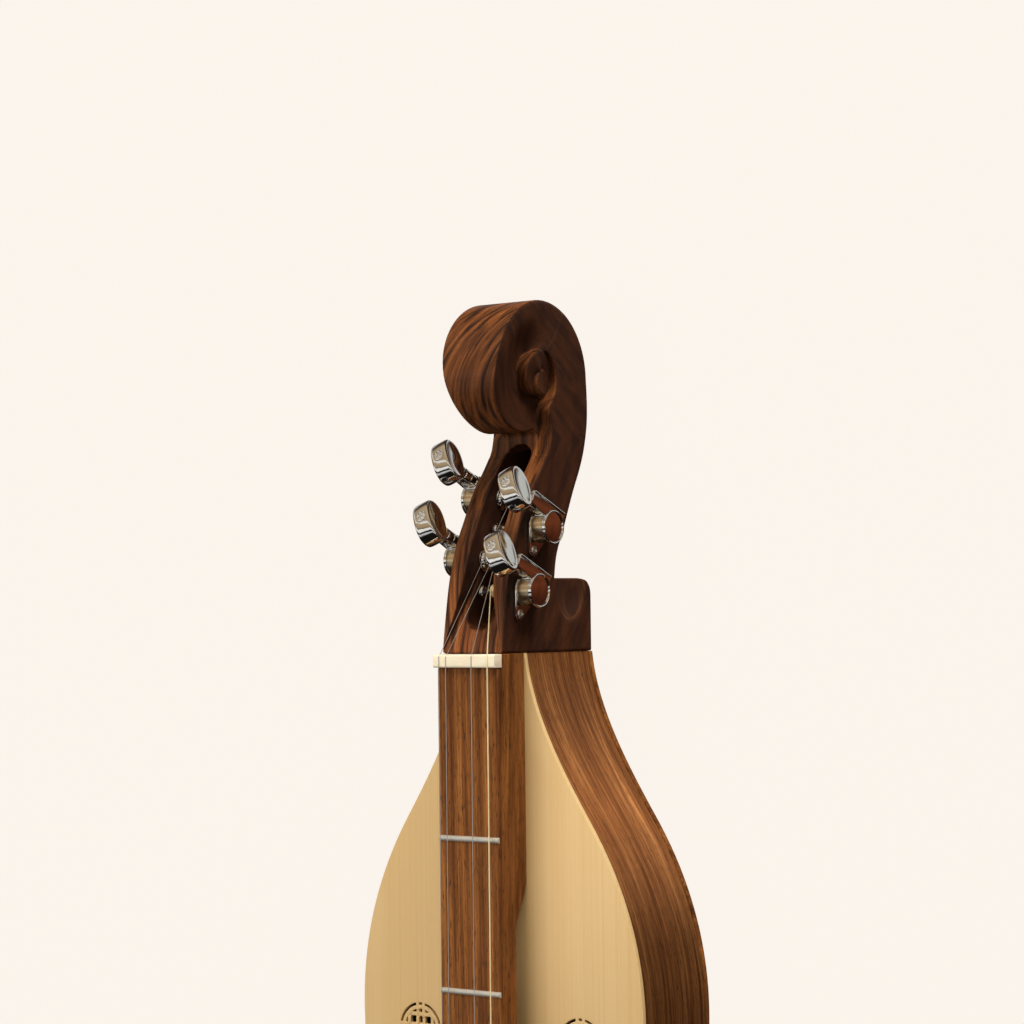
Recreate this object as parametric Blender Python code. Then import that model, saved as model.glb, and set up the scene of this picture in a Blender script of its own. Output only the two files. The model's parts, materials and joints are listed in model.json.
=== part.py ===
"""An hourglass appalachian dulcimer, lying on its back: +X is its right, +Y runs to the scroll, +Z is up.

The origin is under the middle of its bounding box, on the surface that it lies on. Lengths below are in
millimetres and are turned into metres as each piece is made. Along the instrument, a station is measured from
the nut's front edge, positive towards the scroll.
"""
import math

import bmesh
import bpy
from mathutils import Matrix, Vector

MM = 0.001
GAP = 0.3

# Overall places
TOTAL_FRONT = 77.1          # fretboard's playing face above the back
BODY_DEPTH = 56.1           # outside of the back to outside of the soundboard
TAIL = -776.0               # end of the body
HEAD_JOINT = 6.35           # where the body ends and the head begins
PIN_OUT = 4.0               # how far the string pins stand out of the tail
SCROLL_EYE = (138.3, 39.6)  # station and height of the eye's axis
DRUM = (137.2, 37.6)        # and of the round drum's
DRUM_R = 35.8
NUT_Y = (PIN_OUT - TAIL - DRUM[0] - DRUM_R) / 2

# Body
BACK_THICK = 3.0
TOP_THICK = 2.5
RIB_THICK = 2.4
# station, half width, and how fast the half width grows towards the tail
BODY_KNOTS = (
    (HEAD_JOINT, 17.45, 0.10),
    (-72.0, 53.0, 0.66),
    (-162.0, 81.1, 0.0),
    (-345.0, 50.0, 0.0),
    (-565.0, 95.0, 0.0),
    (-690.0, 66.0, -0.50),
    (TAIL, 24.0, -0.30),
)
KNOT_STEPS = (7, 6, 8, 8, 6, 5)
ROSETTE_R = 12.7
ROSETTES = ((46.5, -172.7), (-46.5, -172.7), (52.0, -575.0), (-52.0, -575.0))
ROSETTE_BAR = 2.4
ROSETTE_BAR_AT = 4.2
HEAD_BLOCK_END = -34.0
TAIL_BLOCK_START = -738.0
BRACES = (("back_brace_upper", -250.0), ("back_brace_lower", -430.0),
          ("top_brace_upper", -215.0), ("top_brace_lower", -520.0))
BRACE_WIDE = 8.0
BRACE_TALL = 7.0
BRACE_TIP = 2.0             # its height at its ends
BRACE_SLOPE = 12.6          # length of the slope at each end

# Fretboard
HALF_WIDE = 17.45
SCALE = 724.0
ARCH_FIRST = -98.0
ARCH_LONG = 105.0
ARCH_FOOT = 23.0
ARCHES = 4
ARCH_HIGH = 8.6
ARCH_RAMP = 24.0
STRUM = (-590.0, -700.0)
STRUM_DEEP = 10.0
STRUM_RAMP = 14.0
BEHIND_BRIDGE_DROP = 5.5
TAIL_ROUND = 3.0
FRET_SEMITONES = (("01", 2), ("02", 4), ("03", 5), ("04", 7), ("05", 9), ("06", 10), ("06_half", 11), ("07", 12),
                  ("08", 14), ("09", 16), ("10", 17), ("11", 19), ("12", 21), ("13", 22), ("14", 24), ("15", 26))
FRET_WIDE = 2.6
FRET_HIGH = 1.1
FRET_SHORT = 0.2            # how far a fret stops short of the fretboard's side
FRET_LIFT = 0.05            # keeps its crown clear of the playing face
TANG_WIDE = 0.6
TANG_DEEP = 1.8
SLOT_PLAY = 0.1             # room on each side of a fret's tang
NUT_HIGH = 3.0
NUT_SEAT = 3.0
NUT_PLAY = 0.2
NUT_CORNER = 0.6
BRIDGE_HIGH = 4.5
BRIDGE_SLOPE = 1.2          # how far its top falls on each side of a narrow crest
BRIDGE_CREST = 0.5
BRIDGE_THICK = 3.2
BRIDGE_SEAT = 3.5

# Strings: name, place across the nut, radius, and the tuner that holds it
STRINGS = (
    ("string_melody_outer", -14.2, 0.16, "3"),
    ("string_melody_inner", -10.2, 0.16, "2"),
    ("string_middle", 4.6, 0.19, "1"),
    ("string_bass", 14.0, 0.33, "0"),
)
STRING_TURNS = 2
STRING_TURN_POINTS = 10
STRING_SPACE = 0.12         # between turns on the post
PIN_R = 0.9
PIN_DEEP = 12.0
PIN_Z = 50.0

# Tuners: side (+1 right), station, height of the post's axis, and where the string winds
TUNERS = (
    ("0", 1, 35.4, 56.1, 0.4),
    ("1", -1, 50.3, 51.0, 0.0),
    ("2", 1, 65.0, 44.5, 2.5),
    ("3", -1, 79.5, 36.8, -0.5),
)
TUNER_NAMES = {"0": "tuner_right_lower", "1": "tuner_left_lower",
               "2": "tuner_right_upper", "3": "tuner_left_upper"}
PEGBOX_TILT = math.radians(23.6)
GEAR_TEETH = 14
GEAR_PITCH_R = 4.0
WORM_PITCH_R = 2.0
TOOTH_HIGH = 0.5            # above the pitch circle
TOOTH_DEEP = 0.65           # below it
GEAR_TOOTH_WIDE = 0.68      # at the pitch circle
WORM_TOOTH_WIDE = 0.68
FLANK = math.tan(math.radians(20))
GEAR_HALF_WIDE = 1.4
WORM_X = 5.0                # out from the side of the head
WORM_Y = GEAR_PITCH_R + WORM_PITCH_R
WORM_LEAD = 2 * math.pi * GEAR_PITCH_R / GEAR_TEETH
WORM_TURNS = 3
WORM_STEPS = 10             # round one turn of thread
POST_R = 3.0
POST_START = 6.7
POST_BORE_R = 3.2
SPOOL_R = 2.6
BASE_R = 7.8
BASE_THICK = 1.6
EAR_AT = -11.6              # the base plate's screw ear
EAR_R = 3.0
EAR_HOLE_R = 1.3
CAN_R = 7.2
CAN = (1.0, 8.7)
CASE = ((1.0, 2.0, -7.6), (8.6, 9.3, 8.2))
NECK_R = 3.3
NECK = (7.6, 17.5)
CAP = (8.2, 9.5)
CAP_R = 8.0
CAP_ARM = ((9.8, -7.6), (9.8, 20.5), (2.8, 20.5))
GEAR_ROOM_R = 5.2
GEAR_ROOM = (2.6, 7.2)
WORM_ROOM_R = 2.85
WORM_ROOM = 6.4             # half its length
SHAFT_R = 1.6
SHAFT_BORE_R = 1.75
SHAFT = (-6.8, 33.0)
BUSHING_R = 4.3
FLANGE_R = 5.6
FLANGE_OUT = 1.5            # how far the flange stands into the slot
BUTTON_AT = 29.1
BUTTON_SIZE = (8.6, 22.0, 15.0)
BUTTON_EDGE = (0.8, 0.90)   # width of its edge, and the scale of its flats
BUTTON_BORE_R = 1.9
COLLAR_R = 3.0
COLLAR = (18.2, 23.5)
KEY_REST = math.radians(27) # how far each key stands turned

# Head
HEEL_LOW = 0.2
HEEL_TOP = 29.6
HEEL_CORNER = (34.0, 7.7)   # centre of the heel's rounded corner
HEEL_CORNER_R = 7.5
HEEL_SCOOP = (4.5, 20.5, 12.4)
HEEL_SCOOP_AT = (41.8, 17.4)
SLOT_HALF = 8.0
SLOT_ENDS = (17.0, 105.0)
SLOT_FLOOR = ((17.0, 54.0), (32.0, 42.0), (50.0, 35.0), (80.0, 21.5), (97.0, 15.0), (105.0, 22.0))
SLOT_BACK = ((105.0, 37.0), (96.0, 60.0), (96.0, 100.0))
# station, half width and floor of the recess behind the nut
RAMP = ((0.0, 17.0, 73.4), (8.0, 15.2, 72.2), (24.0, 11.6, 66.0), (42.0, 7.6, 58.5))
RAMP_FLARE = 0.6
FRONT_CLEAR = 100.0         # above every part of the head
POST_HOLE_R = 4.7
EYE_R = 10.4
DISH_TURN = (50.0, 199.0)   # degrees round the eye where the dish starts and ends
DISH_FULL = 145.0           # and where it reaches its full depth
DISH_DEEP = (0.05, 7.2)
DISH_REACH = 60.0
SIDE_CLEAR = 3.0            # how far cutters run past the side


def clear_scene():
    for obj in list(bpy.data.objects):
        bpy.data.objects.remove(obj, do_unlink=True)


def make_collection(name):
    found = bpy.data.collections.new(name)
    bpy.context.scene.collection.children.link(found)
    return found


def material(name, colour, rough, metal=0.0):
    made = bpy.data.materials.new(name)
    made.use_nodes = True
    shader = made.node_tree.nodes["Principled BSDF"]
    shader.inputs["Base Color"].default_value = (*colour, 1.0)
    shader.inputs["Roughness"].default_value = rough
    shader.inputs["Metallic"].default_value = metal
    return made


def place(station, x=0.0, z=0.0):
    """World place in millimetres of a point at a station along the instrument."""
    return Vector((x, NUT_Y + station, z))


# ---------------------------------------------------------------- small builders

def link(name, mesh, look, collection, matrix=None):
    obj = bpy.data.objects.new(name, mesh)
    collection.objects.link(obj)
    if matrix is not None:
        obj.matrix_world = matrix
    if look is not None and not mesh.materials:
        mesh.materials.append(look)
    mesh.shade_smooth()
    mesh.set_sharp_from_angle(angle=math.radians(35))
    return obj


def baked(obj):
    """The object's evaluated mesh, in its own space. The object is removed."""
    bpy.context.view_layer.update()
    graph = bpy.context.evaluated_depsgraph_get()
    mesh = bpy.data.meshes.new_from_object(obj.evaluated_get(graph))
    mesh.name = obj.name
    work = bmesh.new()
    work.from_mesh(mesh)
    bmesh.ops.remove_doubles(work, verts=work.verts, dist=1e-7)
    bmesh.ops.recalc_face_normals(work, faces=work.faces)
    work.to_mesh(mesh)
    work.free()
    bpy.data.objects.remove(obj, do_unlink=True)
    return mesh


AXES = {
    "Z": Matrix.Identity(4),
    "X": Matrix(((0, 0, 1, 0), (1, 0, 0, 0), (0, 1, 0, 0), (0, 0, 0, 1))),
}


def outline_mesh(name, points, axis, low, high):
    """A flat outline given thickness along X (points are Y, Z) or along Z (points are X, Y)."""
    curve = bpy.data.curves.new(name, "CURVE")
    curve.dimensions = "2D"
    curve.fill_mode = "BOTH"
    curve.extrude = (high - low) / 2 * MM
    spline = curve.splines.new("POLY")
    spline.points.add(len(points) - 1)
    for spot, (u, v) in zip(spline.points, points):
        spot.co = (u * MM, v * MM, 0, 1)
    spline.use_cyclic_u = True
    obj = bpy.data.objects.new(name, curve)
    CUTTERS.objects.link(obj)
    mesh = baked(obj)
    mesh.transform(AXES[axis] @ Matrix.Translation((0, 0, (high + low) / 2 * MM)))
    return mesh


def rod_mesh(name, radius, start, end, sides):
    """A straight rod between two points."""
    start, end = Vector(start) * MM, Vector(end) * MM
    along = end - start
    turn = along.to_track_quat("Z", "Y").to_matrix().to_4x4()
    work = bmesh.new()
    bmesh.ops.create_cone(work, cap_ends=True, segments=sides, radius1=radius * MM,
                          radius2=radius * MM, depth=along.length,
                          matrix=Matrix.Translation((start + end) / 2) @ turn)
    mesh = bpy.data.meshes.new(name)
    work.to_mesh(mesh)
    work.free()
    return mesh


def box_mesh(name, low, high):
    low, high = Vector(low) * MM, Vector(high) * MM
    size = high - low
    work = bmesh.new()
    bmesh.ops.create_cube(work, size=1.0,
                          matrix=Matrix.Translation((low + high) / 2) @ Matrix.Diagonal((*size, 1)))
    mesh = bpy.data.meshes.new(name)
    work.to_mesh(mesh)
    work.free()
    return mesh


def rings_mesh(name, rings):
    """A closed skin over a row of rings that have equal numbers of points, with both ends filled."""
    work = bmesh.new()
    rows = [[work.verts.new(Vector(spot) * MM) for spot in ring] for ring in rings]
    for one, two in zip(rows, rows[1:]):
        for i in range(len(one)):
            j = (i + 1) % len(one)
            work.faces.new((one[i], one[j], two[j], two[i]))
    work.faces.new(rows[0][::-1])
    work.faces.new(rows[-1])
    bmesh.ops.recalc_face_normals(work, faces=work.faces)
    mesh = bpy.data.meshes.new(name)
    work.to_mesh(mesh)
    work.free()
    return mesh


def helper(mesh, matrix=None):
    obj = link(mesh.name + "_helper", mesh, None, CUTTERS, matrix)
    obj.hide_render = True
    obj.display_type = "WIRE"
    return obj


def combine(obj, mesh, operation, matrix=None):
    """Adds a Boolean with the exact solver."""
    change = obj.modifiers.new(mesh.name, "BOOLEAN")
    change.operation = operation
    change.solver = "EXACT"
    change.object = helper(mesh, matrix)


def cut(obj, *meshes):
    for mesh in meshes:
        combine(obj, mesh, "DIFFERENCE")


def join(obj, *meshes):
    for mesh in meshes:
        combine(obj, mesh, "UNION")


def circle(centre, radius, first, last, steps):
    """Points on an arc, angles in degrees from the first axis to the second."""
    out = []
    for i in range(steps + 1):
        turn = math.radians(first + (last - first) * i / steps)
        out.append((centre[0] + radius * math.cos(turn), centre[1] + radius * math.sin(turn)))
    return out


def tube(name, route, radius, look):
    """A wire through the points of a route, in millimetres."""
    curve = bpy.data.curves.new(name, "CURVE")
    curve.dimensions = "3D"
    curve.bevel_depth = radius * MM
    curve.bevel_resolution = 1
    curve.use_fill_caps = True
    spline = curve.splines.new("POLY")
    spline.points.add(len(route) - 1)
    for spot, where in zip(spline.points, route):
        spot.co = (*(Vector(where) * MM), 1)
    obj = bpy.data.objects.new(name, curve)
    CUTTERS.objects.link(obj)
    return link(name, baked(obj), look, PARTS)


# ---------------------------------------------------------------- body

def half_width(station):
    """Half the body's width, a smooth curve through BODY_KNOTS."""
    for (s0, w0, g0), (s1, w1, g1) in zip(BODY_KNOTS, BODY_KNOTS[1:]):
        if station >= s1 or s1 == TAIL:
            span = s0 - s1
            t = (s0 - station) / span
            return ((2 * t**3 - 3 * t**2 + 1) * w0 + (t**3 - 2 * t**2 + t) * span * g0
                    + (-2 * t**3 + 3 * t**2) * w1 + (t**3 - t**2) * span * g1)
    return BODY_KNOTS[-1][1]


def body_stations():
    out = [HEAD_JOINT]
    for (s0, _, _), (s1, _, _), steps in zip(BODY_KNOTS, BODY_KNOTS[1:], KNOT_STEPS):
        out += [s0 + (s1 - s0) * (i + 1) / steps for i in range(steps)]
    return out


def side_curve(inset=0.0, stations=None):
    """The right side's curve as X, Y, moved in by a thickness measured square to the curve, from head to tail."""
    out = []
    for station in stations or body_stations():
        slope = (half_width(station - 0.01) - half_width(station + 0.01)) / 0.02
        out.append((half_width(station) - inset * math.hypot(1.0, slope), NUT_Y + station))
    return out


def mirrored(points):
    return [(-x, y) for x, y in reversed(points)]


def plate(name, low, high, look):
    side = side_curve()
    return link(name, outline_mesh(name, side + mirrored(side), "Z", low, high), look, PARTS)


def rosette_windows(x, station):
    """The openings left between two bars each way, inside a ring."""
    half = ROSETTE_BAR / 2
    edges = (-ROSETTE_R - 1, -ROSETTE_BAR_AT - half, -ROSETTE_BAR_AT + half, ROSETTE_BAR_AT - half,
             ROSETTE_BAR_AT + half, ROSETTE_R + 1)
    centre = place(station, x, BODY_DEPTH)
    deep = Vector((0, 0, TOP_THICK + 1))
    disc = helper(rod_mesh("rosette_disc", ROSETTE_R, centre - deep, centre + deep, 24))
    for u in (0, 2, 4):
        for v in (0, 2, 4):
            low = centre + Vector((edges[u], edges[v], -TOP_THICK - 0.5))
            high = centre + Vector((edges[u + 1], edges[v + 1], 0.5))
            window = link("window", box_mesh("window", low, high), None, CUTTERS)
            keep = window.modifiers.new("inside_ring", "BOOLEAN")
            keep.operation = "INTERSECT"
            keep.solver = "EXACT"
            keep.object = disc
            yield baked(window)


def build_soundboard():
    board = plate("soundboard", BODY_DEPTH - TOP_THICK, BODY_DEPTH, SPRUCE)
    for x, station in ROSETTES:
        cut(board, *rosette_windows(x, station))


def build_rib(name, side):
    outer = side_curve()
    inner = side_curve(RIB_THICK)
    strip = outer + inner[::-1]
    if side < 0:
        strip = mirrored(strip)
    low, high = BACK_THICK + GAP, BODY_DEPTH - TOP_THICK - GAP
    link(name, outline_mesh(name, strip, "Z", low, high), WALNUT, PARTS)


def build_block(name, first, last, steps):
    """An end block, which fills the body between the ribs."""
    stations = [first + (last - first) * i / steps for i in range(steps + 1)]
    side = side_curve(RIB_THICK + GAP, stations)
    low, high = BACK_THICK + GAP, BODY_DEPTH - TOP_THICK - GAP
    link(name, outline_mesh(name, side + mirrored(side), "Z", low, high), MAPLE, PARTS)


def build_braces():
    for name, station in BRACES:
        half = min(half_width(station - BRACE_WIDE / 2), half_width(station + BRACE_WIDE / 2))
        reach = half - RIB_THICK - 3 * GAP
        if name.startswith("back"):
            glued = BACK_THICK + GAP
            free, tip = glued + BRACE_TALL, glued + BRACE_TIP
        else:
            glued = BODY_DEPTH - TOP_THICK - GAP
            free, tip = glued - BRACE_TALL, glued - BRACE_TIP
        flat = reach - BRACE_SLOPE
        ends = ((-reach, glued), (reach, glued), (reach, tip), (flat, free), (-flat, free), (-reach, tip))
        mesh = outline_mesh(name, ends, "Z", -BRACE_WIDE / 2, BRACE_WIDE / 2)
        stand = Matrix(((1, 0, 0, 0), (0, 0, -1, (NUT_Y + station) * MM), (0, 1, 0, 0), (0, 0, 0, 1)))
        mesh.transform(stand)
        link(name, mesh, MAPLE, PARTS)


# ---------------------------------------------------------------- fretboard

def eased(t):
    """A smooth rise from 0 to 1."""
    return 3 * t**2 - 2 * t**3


def fret_station(semitones):
    return -SCALE * (1 - 2 ** (-semitones / 12))


def fretboard_outline():
    """Side view, Y and Z: the playing face with its fret slots, then back along the arched underside."""
    top = TOTAL_FRONT
    base = BODY_DEPTH + GAP
    points = [(HEAD_JOINT, base), (HEAD_JOINT, top - NUT_SEAT), (0.0, top - NUT_SEAT), (0.0, top)]
    slot = TANG_WIDE / 2 + SLOT_PLAY
    for _, semitones in FRET_SEMITONES:
        at = fret_station(semitones)
        floor = top - TANG_DEEP - 2 * SLOT_PLAY
        points += [(at + slot, top), (at + slot, floor), (at - slot, floor), (at - slot, top)]
    start, stop = STRUM
    fall = [(STRUM_RAMP * i / 4, top - STRUM_DEEP * eased(i / 4)) for i in range(5)]
    points += [(start - along, z) for along, z in fall] + [(stop + along, z) for along, z in reversed(fall)]
    at = -SCALE
    seat = BRIDGE_THICK / 2 + GAP / 2
    points += [(at + seat, top), (at + seat, top - BRIDGE_SEAT), (at - seat, top - BRIDGE_SEAT), (at - seat, top)]
    behind = top - BEHIND_BRIDGE_DROP
    points += [(TAIL + TAIL_ROUND, behind), (TAIL, behind - TAIL_ROUND / 2), (TAIL, base)]
    for arch in reversed(range(ARCHES)):
        near = ARCH_FIRST - arch * (ARCH_LONG + ARCH_FOOT)
        far = near - ARCH_LONG
        rise = [(ARCH_RAMP * i / 6, base + ARCH_HIGH * eased(i / 6)) for i in range(7)]
        points += [(far + along, z) for along, z in rise] + [(near - along, z) for along, z in reversed(rise)]
    return [(NUT_Y + station, z) for station, z in points]


def build_fretboard():
    mesh = outline_mesh("fretboard", fretboard_outline(), "X", -HALF_WIDE, HALF_WIDE)
    link("fretboard", mesh, WALNUT, PARTS)


def build_frets():
    for label, semitones in FRET_SEMITONES:
        at = NUT_Y + fret_station(semitones)
        low = TOTAL_FRONT + FRET_LIFT
        crown = [(at + FRET_WIDE / 2 * math.cos(a), low + FRET_HIGH * math.sin(a))
                 for a in (math.pi * i / 6 for i in range(7))]
        tang = TANG_WIDE / 2
        foot = low - TANG_DEEP
        points = crown + [(at - tang, low), (at - tang, foot), (at + tang, foot), (at + tang, low)]
        name = "fret_" + label
        half = HALF_WIDE - FRET_SHORT
        link(name, outline_mesh(name, points, "X", -half, half), NICKEL, PARTS)


def build_nut():
    low, high = TOTAL_FRONT - NUT_SEAT + GAP, TOTAL_FRONT + NUT_HIGH
    front, back = NUT_Y + NUT_PLAY, NUT_Y + HEAD_JOINT - NUT_PLAY / 2
    points = [(front, low), (back, low), (back, high - NUT_CORNER), (back - NUT_CORNER, high),
              (front + NUT_CORNER, high), (front, high - NUT_CORNER)]
    link("nut", outline_mesh("nut", points, "X", -HALF_WIDE, HALF_WIDE), BONE, PARTS)


def build_bridge():
    low, high = TOTAL_FRONT - BRIDGE_SEAT + GAP, TOTAL_FRONT + BRIDGE_HIGH
    at = NUT_Y - SCALE
    half = BRIDGE_THICK / 2
    points = [(at - half, low), (at + half, low), (at + half, high - BRIDGE_SLOPE), (at + BRIDGE_CREST, high),
              (at - BRIDGE_CREST, high), (at - half, high - BRIDGE_SLOPE)]
    link("bridge", outline_mesh("bridge", points, "X", -HALF_WIDE, HALF_WIDE), BONE, PARTS)


# ---------------------------------------------------------------- head

def drum_radius(angle):
    """Radius of the scroll's outside, degrees from its top round to its front. It winds in underneath."""
    inward = max(0.0, angle - 92.0) / 90.0
    return DRUM_R - 10.5 * inward ** 1.35


def head_outline():
    """Side view of the head, station and height, anticlockwise from the joint's lower corner."""
    heel = [(HEAD_JOINT + GAP, HEEL_LOW), (HEEL_CORNER[0], HEEL_LOW)]
    heel += circle(HEEL_CORNER, HEEL_CORNER_R, -60, 0, 3) + [(HEEL_CORNER[0] + HEEL_CORNER_R, HEEL_TOP)]
    back = [(50.0, 28.0), (60.0, 24.4), (70.0, 19.8), (80.0, 15.2), (90.0, 10.4), (100.0, 5.9), (108.0, 3.2),
            (116.0, 1.5), (126.0, 1.1)]
    round_back = [(DRUM[0] + drum_radius(a) * math.cos(math.radians(a)),
                   DRUM[1] + drum_radius(a) * math.sin(math.radians(a)))
                  for a in range(-90, 190, 9)]
    throat = [(112.6, 33.2), (108.0, 32.0)]
    front = [(100.6, 35.3), (93.0, 40.9), (85.5, 46.8), (77.0, 52.2), (69.3, 56.3), (60.0, 61.2), (50.0, 65.2),
             (38.1, 68.7), (22.0, 71.4), (HEAD_JOINT + GAP, 73.6)]
    return heel + back + round_back + throat + front


def dish_depth(angle):
    """How deep the scroll's side is cut, by degrees round the eye from the top towards the front."""
    first, full = DISH_TURN[0], DISH_FULL
    t = min(1.0, max(0.0, (angle - first) / (full - first)))
    return DISH_DEEP[0] + (DISH_DEEP[1] - DISH_DEEP[0]) * t**1.6


def dish_mesh(side):
    """A ramp round the eye, deepest under the drum, where it ends in a step at the throat."""
    rings = []
    first, last = DISH_TURN
    for i in range(13):
        angle = first + (last - first) * i / 12
        turn = math.radians(angle)
        along = (math.cos(turn), math.sin(turn))
        inner, outer = HALF_WIDE - dish_depth(angle), HALF_WIDE + SIDE_CLEAR
        ring = []
        for radius, x in ((EYE_R, inner), (DISH_REACH, inner), (DISH_REACH, outer), (EYE_R, outer)):
            ring.append(place(SCROLL_EYE[0] + radius * along[0], side * x, SCROLL_EYE[1] + radius * along[1]))
        rings.append(ring)
    return rings_mesh("dish", rings)


def slot_mesh():
    """The string slot: a round-ended opening seen from the front, cut down to a sloping floor."""
    low, high = SLOT_ENDS
    ends = circle((0, NUT_Y + high - SLOT_HALF), SLOT_HALF, 0, 180, 8)
    ends += circle((0, NUT_Y + low + SLOT_HALF), SLOT_HALF, 180, 360, 8)
    opening = link("slot", outline_mesh("slot", ends, "Z", 0.0, FRONT_CLEAR + 10), None, CUTTERS)
    side = [(NUT_Y + station, z) for station, z in (*SLOT_FLOOR, *SLOT_BACK, (low, FRONT_CLEAR))]
    depth = helper(outline_mesh("slot_depth", side, "X", -HALF_WIDE, HALF_WIDE))
    keep = opening.modifiers.new("depth", "BOOLEAN")
    keep.operation = "INTERSECT"
    keep.solver = "EXACT"
    keep.object = depth
    return baked(opening)


def ramp_mesh():
    """The recess that lets the strings down from the nut into the slot: wide and shallow, then narrow and deep."""
    rings = []
    for station, half, floor in RAMP:
        top = half + RAMP_FLARE
        rings.append([place(station, -half, floor), place(station, half, floor),
                      place(station, top, FRONT_CLEAR), place(station, -top, FRONT_CLEAR)])
    return rings_mesh("ramp", rings)


def heel_scoop_mesh(side):
    work = bmesh.new()
    bmesh.ops.create_uvsphere(work, u_segments=16, v_segments=10, radius=1.0)
    station, z = HEEL_SCOOP_AT
    bmesh.ops.scale(work, verts=work.verts, vec=Vector(HEEL_SCOOP) * MM)
    bmesh.ops.translate(work, verts=work.verts, vec=place(station, side * (HALF_WIDE + 0.2), z) * MM)
    mesh = bpy.data.meshes.new("scoop")
    work.to_mesh(mesh)
    work.free()
    return mesh


def build_head():
    outline = [(NUT_Y + station, z) for station, z in head_outline()]
    head = link("head", outline_mesh("head", outline, "X", -HALF_WIDE, HALF_WIDE), DARK_WALNUT, PARTS)
    cut(head, slot_mesh(), ramp_mesh())
    for side in (1, -1):
        cut(head, dish_mesh(side), heel_scoop_mesh(side))
    for _, side, station, z, _ in TUNERS:
        hole = rod_mesh("post_hole", POST_HOLE_R, place(station, side * (SLOT_HALF - SIDE_CLEAR), z),
                        place(station, side * (HALF_WIDE + SIDE_CLEAR), z), 16)
        cut(head, hole)


# ---------------------------------------------------------------- tuners
# A tuner's own frame: X out from the side of the head, Y up the pegbox, Z along the worm to the button.

def cap_outline():
    return [*CAP_ARM, *circle((0, 0), CAP_R, 70, 300, 12)]


def base_outline():
    ear = circle((EAR_AT, 0), EAR_R, 120, 240, 5)
    return circle((0, 0), BASE_R, -112, 112, 10) + ear


def on_post(name, radius, first, last, sides=16):
    """A rod on the post's axis."""
    return rod_mesh(name, radius, (first, 0, 0), (last, 0, 0), sides)


def on_shaft(name, radius, first, last, sides=12):
    """A rod on the worm's axis, in the tuner's frame."""
    return rod_mesh(name, radius, (WORM_X, WORM_Y, first), (WORM_X, WORM_Y, last), sides)


def housing_mesh():
    start = link("housing", outline_mesh("housing", base_outline(), "X", GAP, BASE_THICK), None, CUTTERS)
    join(start, on_post("can", CAN_R, *CAN), box_mesh("worm_case", *CASE), on_shaft("neck", NECK_R, *NECK),
         outline_mesh("cap", cap_outline(), "X", *CAP))
    cut(start, on_post("gear_room", GEAR_ROOM_R, *GEAR_ROOM),
        on_shaft("worm_room", WORM_ROOM_R, -WORM_ROOM, WORM_ROOM),
        on_shaft("shaft_bore", SHAFT_BORE_R, SHAFT[0] - 0.2, NECK[1] + 1.5),
        on_post("post_bore", POST_BORE_R, -1.0, GEAR_ROOM[0] + 0.6),
        rod_mesh("ear_hole", EAR_HOLE_R, (-1, EAR_AT, 0), (BASE_THICK + 1, EAR_AT, 0), 10))
    return baked(start)


def gear_mesh():
    """A toothed wheel on X whose teeth lean with the worm's thread; one tooth points along +Y."""
    lean = WORM_LEAD / (2 * math.pi * WORM_PITCH_R) / GEAR_PITCH_R
    rings = []
    for x in (-GEAR_HALF_WIDE, GEAR_HALF_WIDE):
        ring = []
        for tooth in range(GEAR_TEETH):
            middle = 2 * math.pi * tooth / GEAR_TEETH + lean * x
            foot = GEAR_PITCH_R - TOOTH_DEEP
            tip = GEAR_PITCH_R + TOOTH_HIGH
            foot_half = (GEAR_TOOTH_WIDE / 2 + TOOTH_DEEP * FLANK) / GEAR_PITCH_R
            tip_half = (GEAR_TOOTH_WIDE / 2 - TOOTH_HIGH * FLANK) / GEAR_PITCH_R
            for radius, turn in ((foot, -foot_half), (tip, -tip_half), (tip, tip_half), (foot, foot_half)):
                ring.append((WORM_X + x, radius * math.cos(middle + turn), radius * math.sin(middle + turn)))
        rings.append(ring)
    return rings_mesh("gear", rings)


def post_mesh():
    """The string post with its gear, turned on X. Its thin middle takes the string."""
    wall = HALF_WIDE - SLOT_HALF
    far = -(HALF_WIDE + SLOT_HALF) + 0.9
    start = link("post", on_post("post", POST_R, POST_START, -wall - 2.4), None, CUTTERS)
    join(start, on_post("spool", SPOOL_R, -wall - 2.0, far + 1.5), on_post("post_end", POST_R, far + 1.8, far),
         gear_mesh())
    return baked(start)


def worm_mesh():
    """The worm on its shaft, about its own Z. A gap of its thread faces the gear, which lies towards -Y."""
    root = WORM_PITCH_R - TOOTH_DEEP
    tip = WORM_PITCH_R + TOOTH_HIGH
    sunk = root - 0.25
    rings = []
    for i in range(WORM_TURNS * WORM_STEPS + 1):
        turn = 2 * math.pi * i / WORM_STEPS
        middle = WORM_LEAD * (turn / (2 * math.pi) - 0.25 - (WORM_TURNS - 1) / 2)
        sunk_half = WORM_TOOTH_WIDE / 2 + (WORM_PITCH_R - sunk) * FLANK
        tip_half = WORM_TOOTH_WIDE / 2 - TOOTH_HIGH * FLANK
        ring = []
        for radius, along in ((sunk, -sunk_half), (tip, -tip_half), (tip, tip_half), (sunk, sunk_half)):
            ring.append((radius * math.cos(turn), radius * math.sin(turn), middle + along))
        rings.append(ring)
    end = WORM_ROOM - 0.4
    start = link("worm", rod_mesh("worm", root, (0, 0, -end), (0, 0, end), 12), None, CUTTERS)
    join(start, rings_mesh("thread", rings),
         rod_mesh("shaft", SHAFT_R, (0, 0, end - 0.4), (0, 0, SHAFT[1]), 12),
         rod_mesh("tail", SHAFT_R, (0, 0, SHAFT[0]), (0, 0, 0.4 - end), 12))
    return baked(start)


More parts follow.
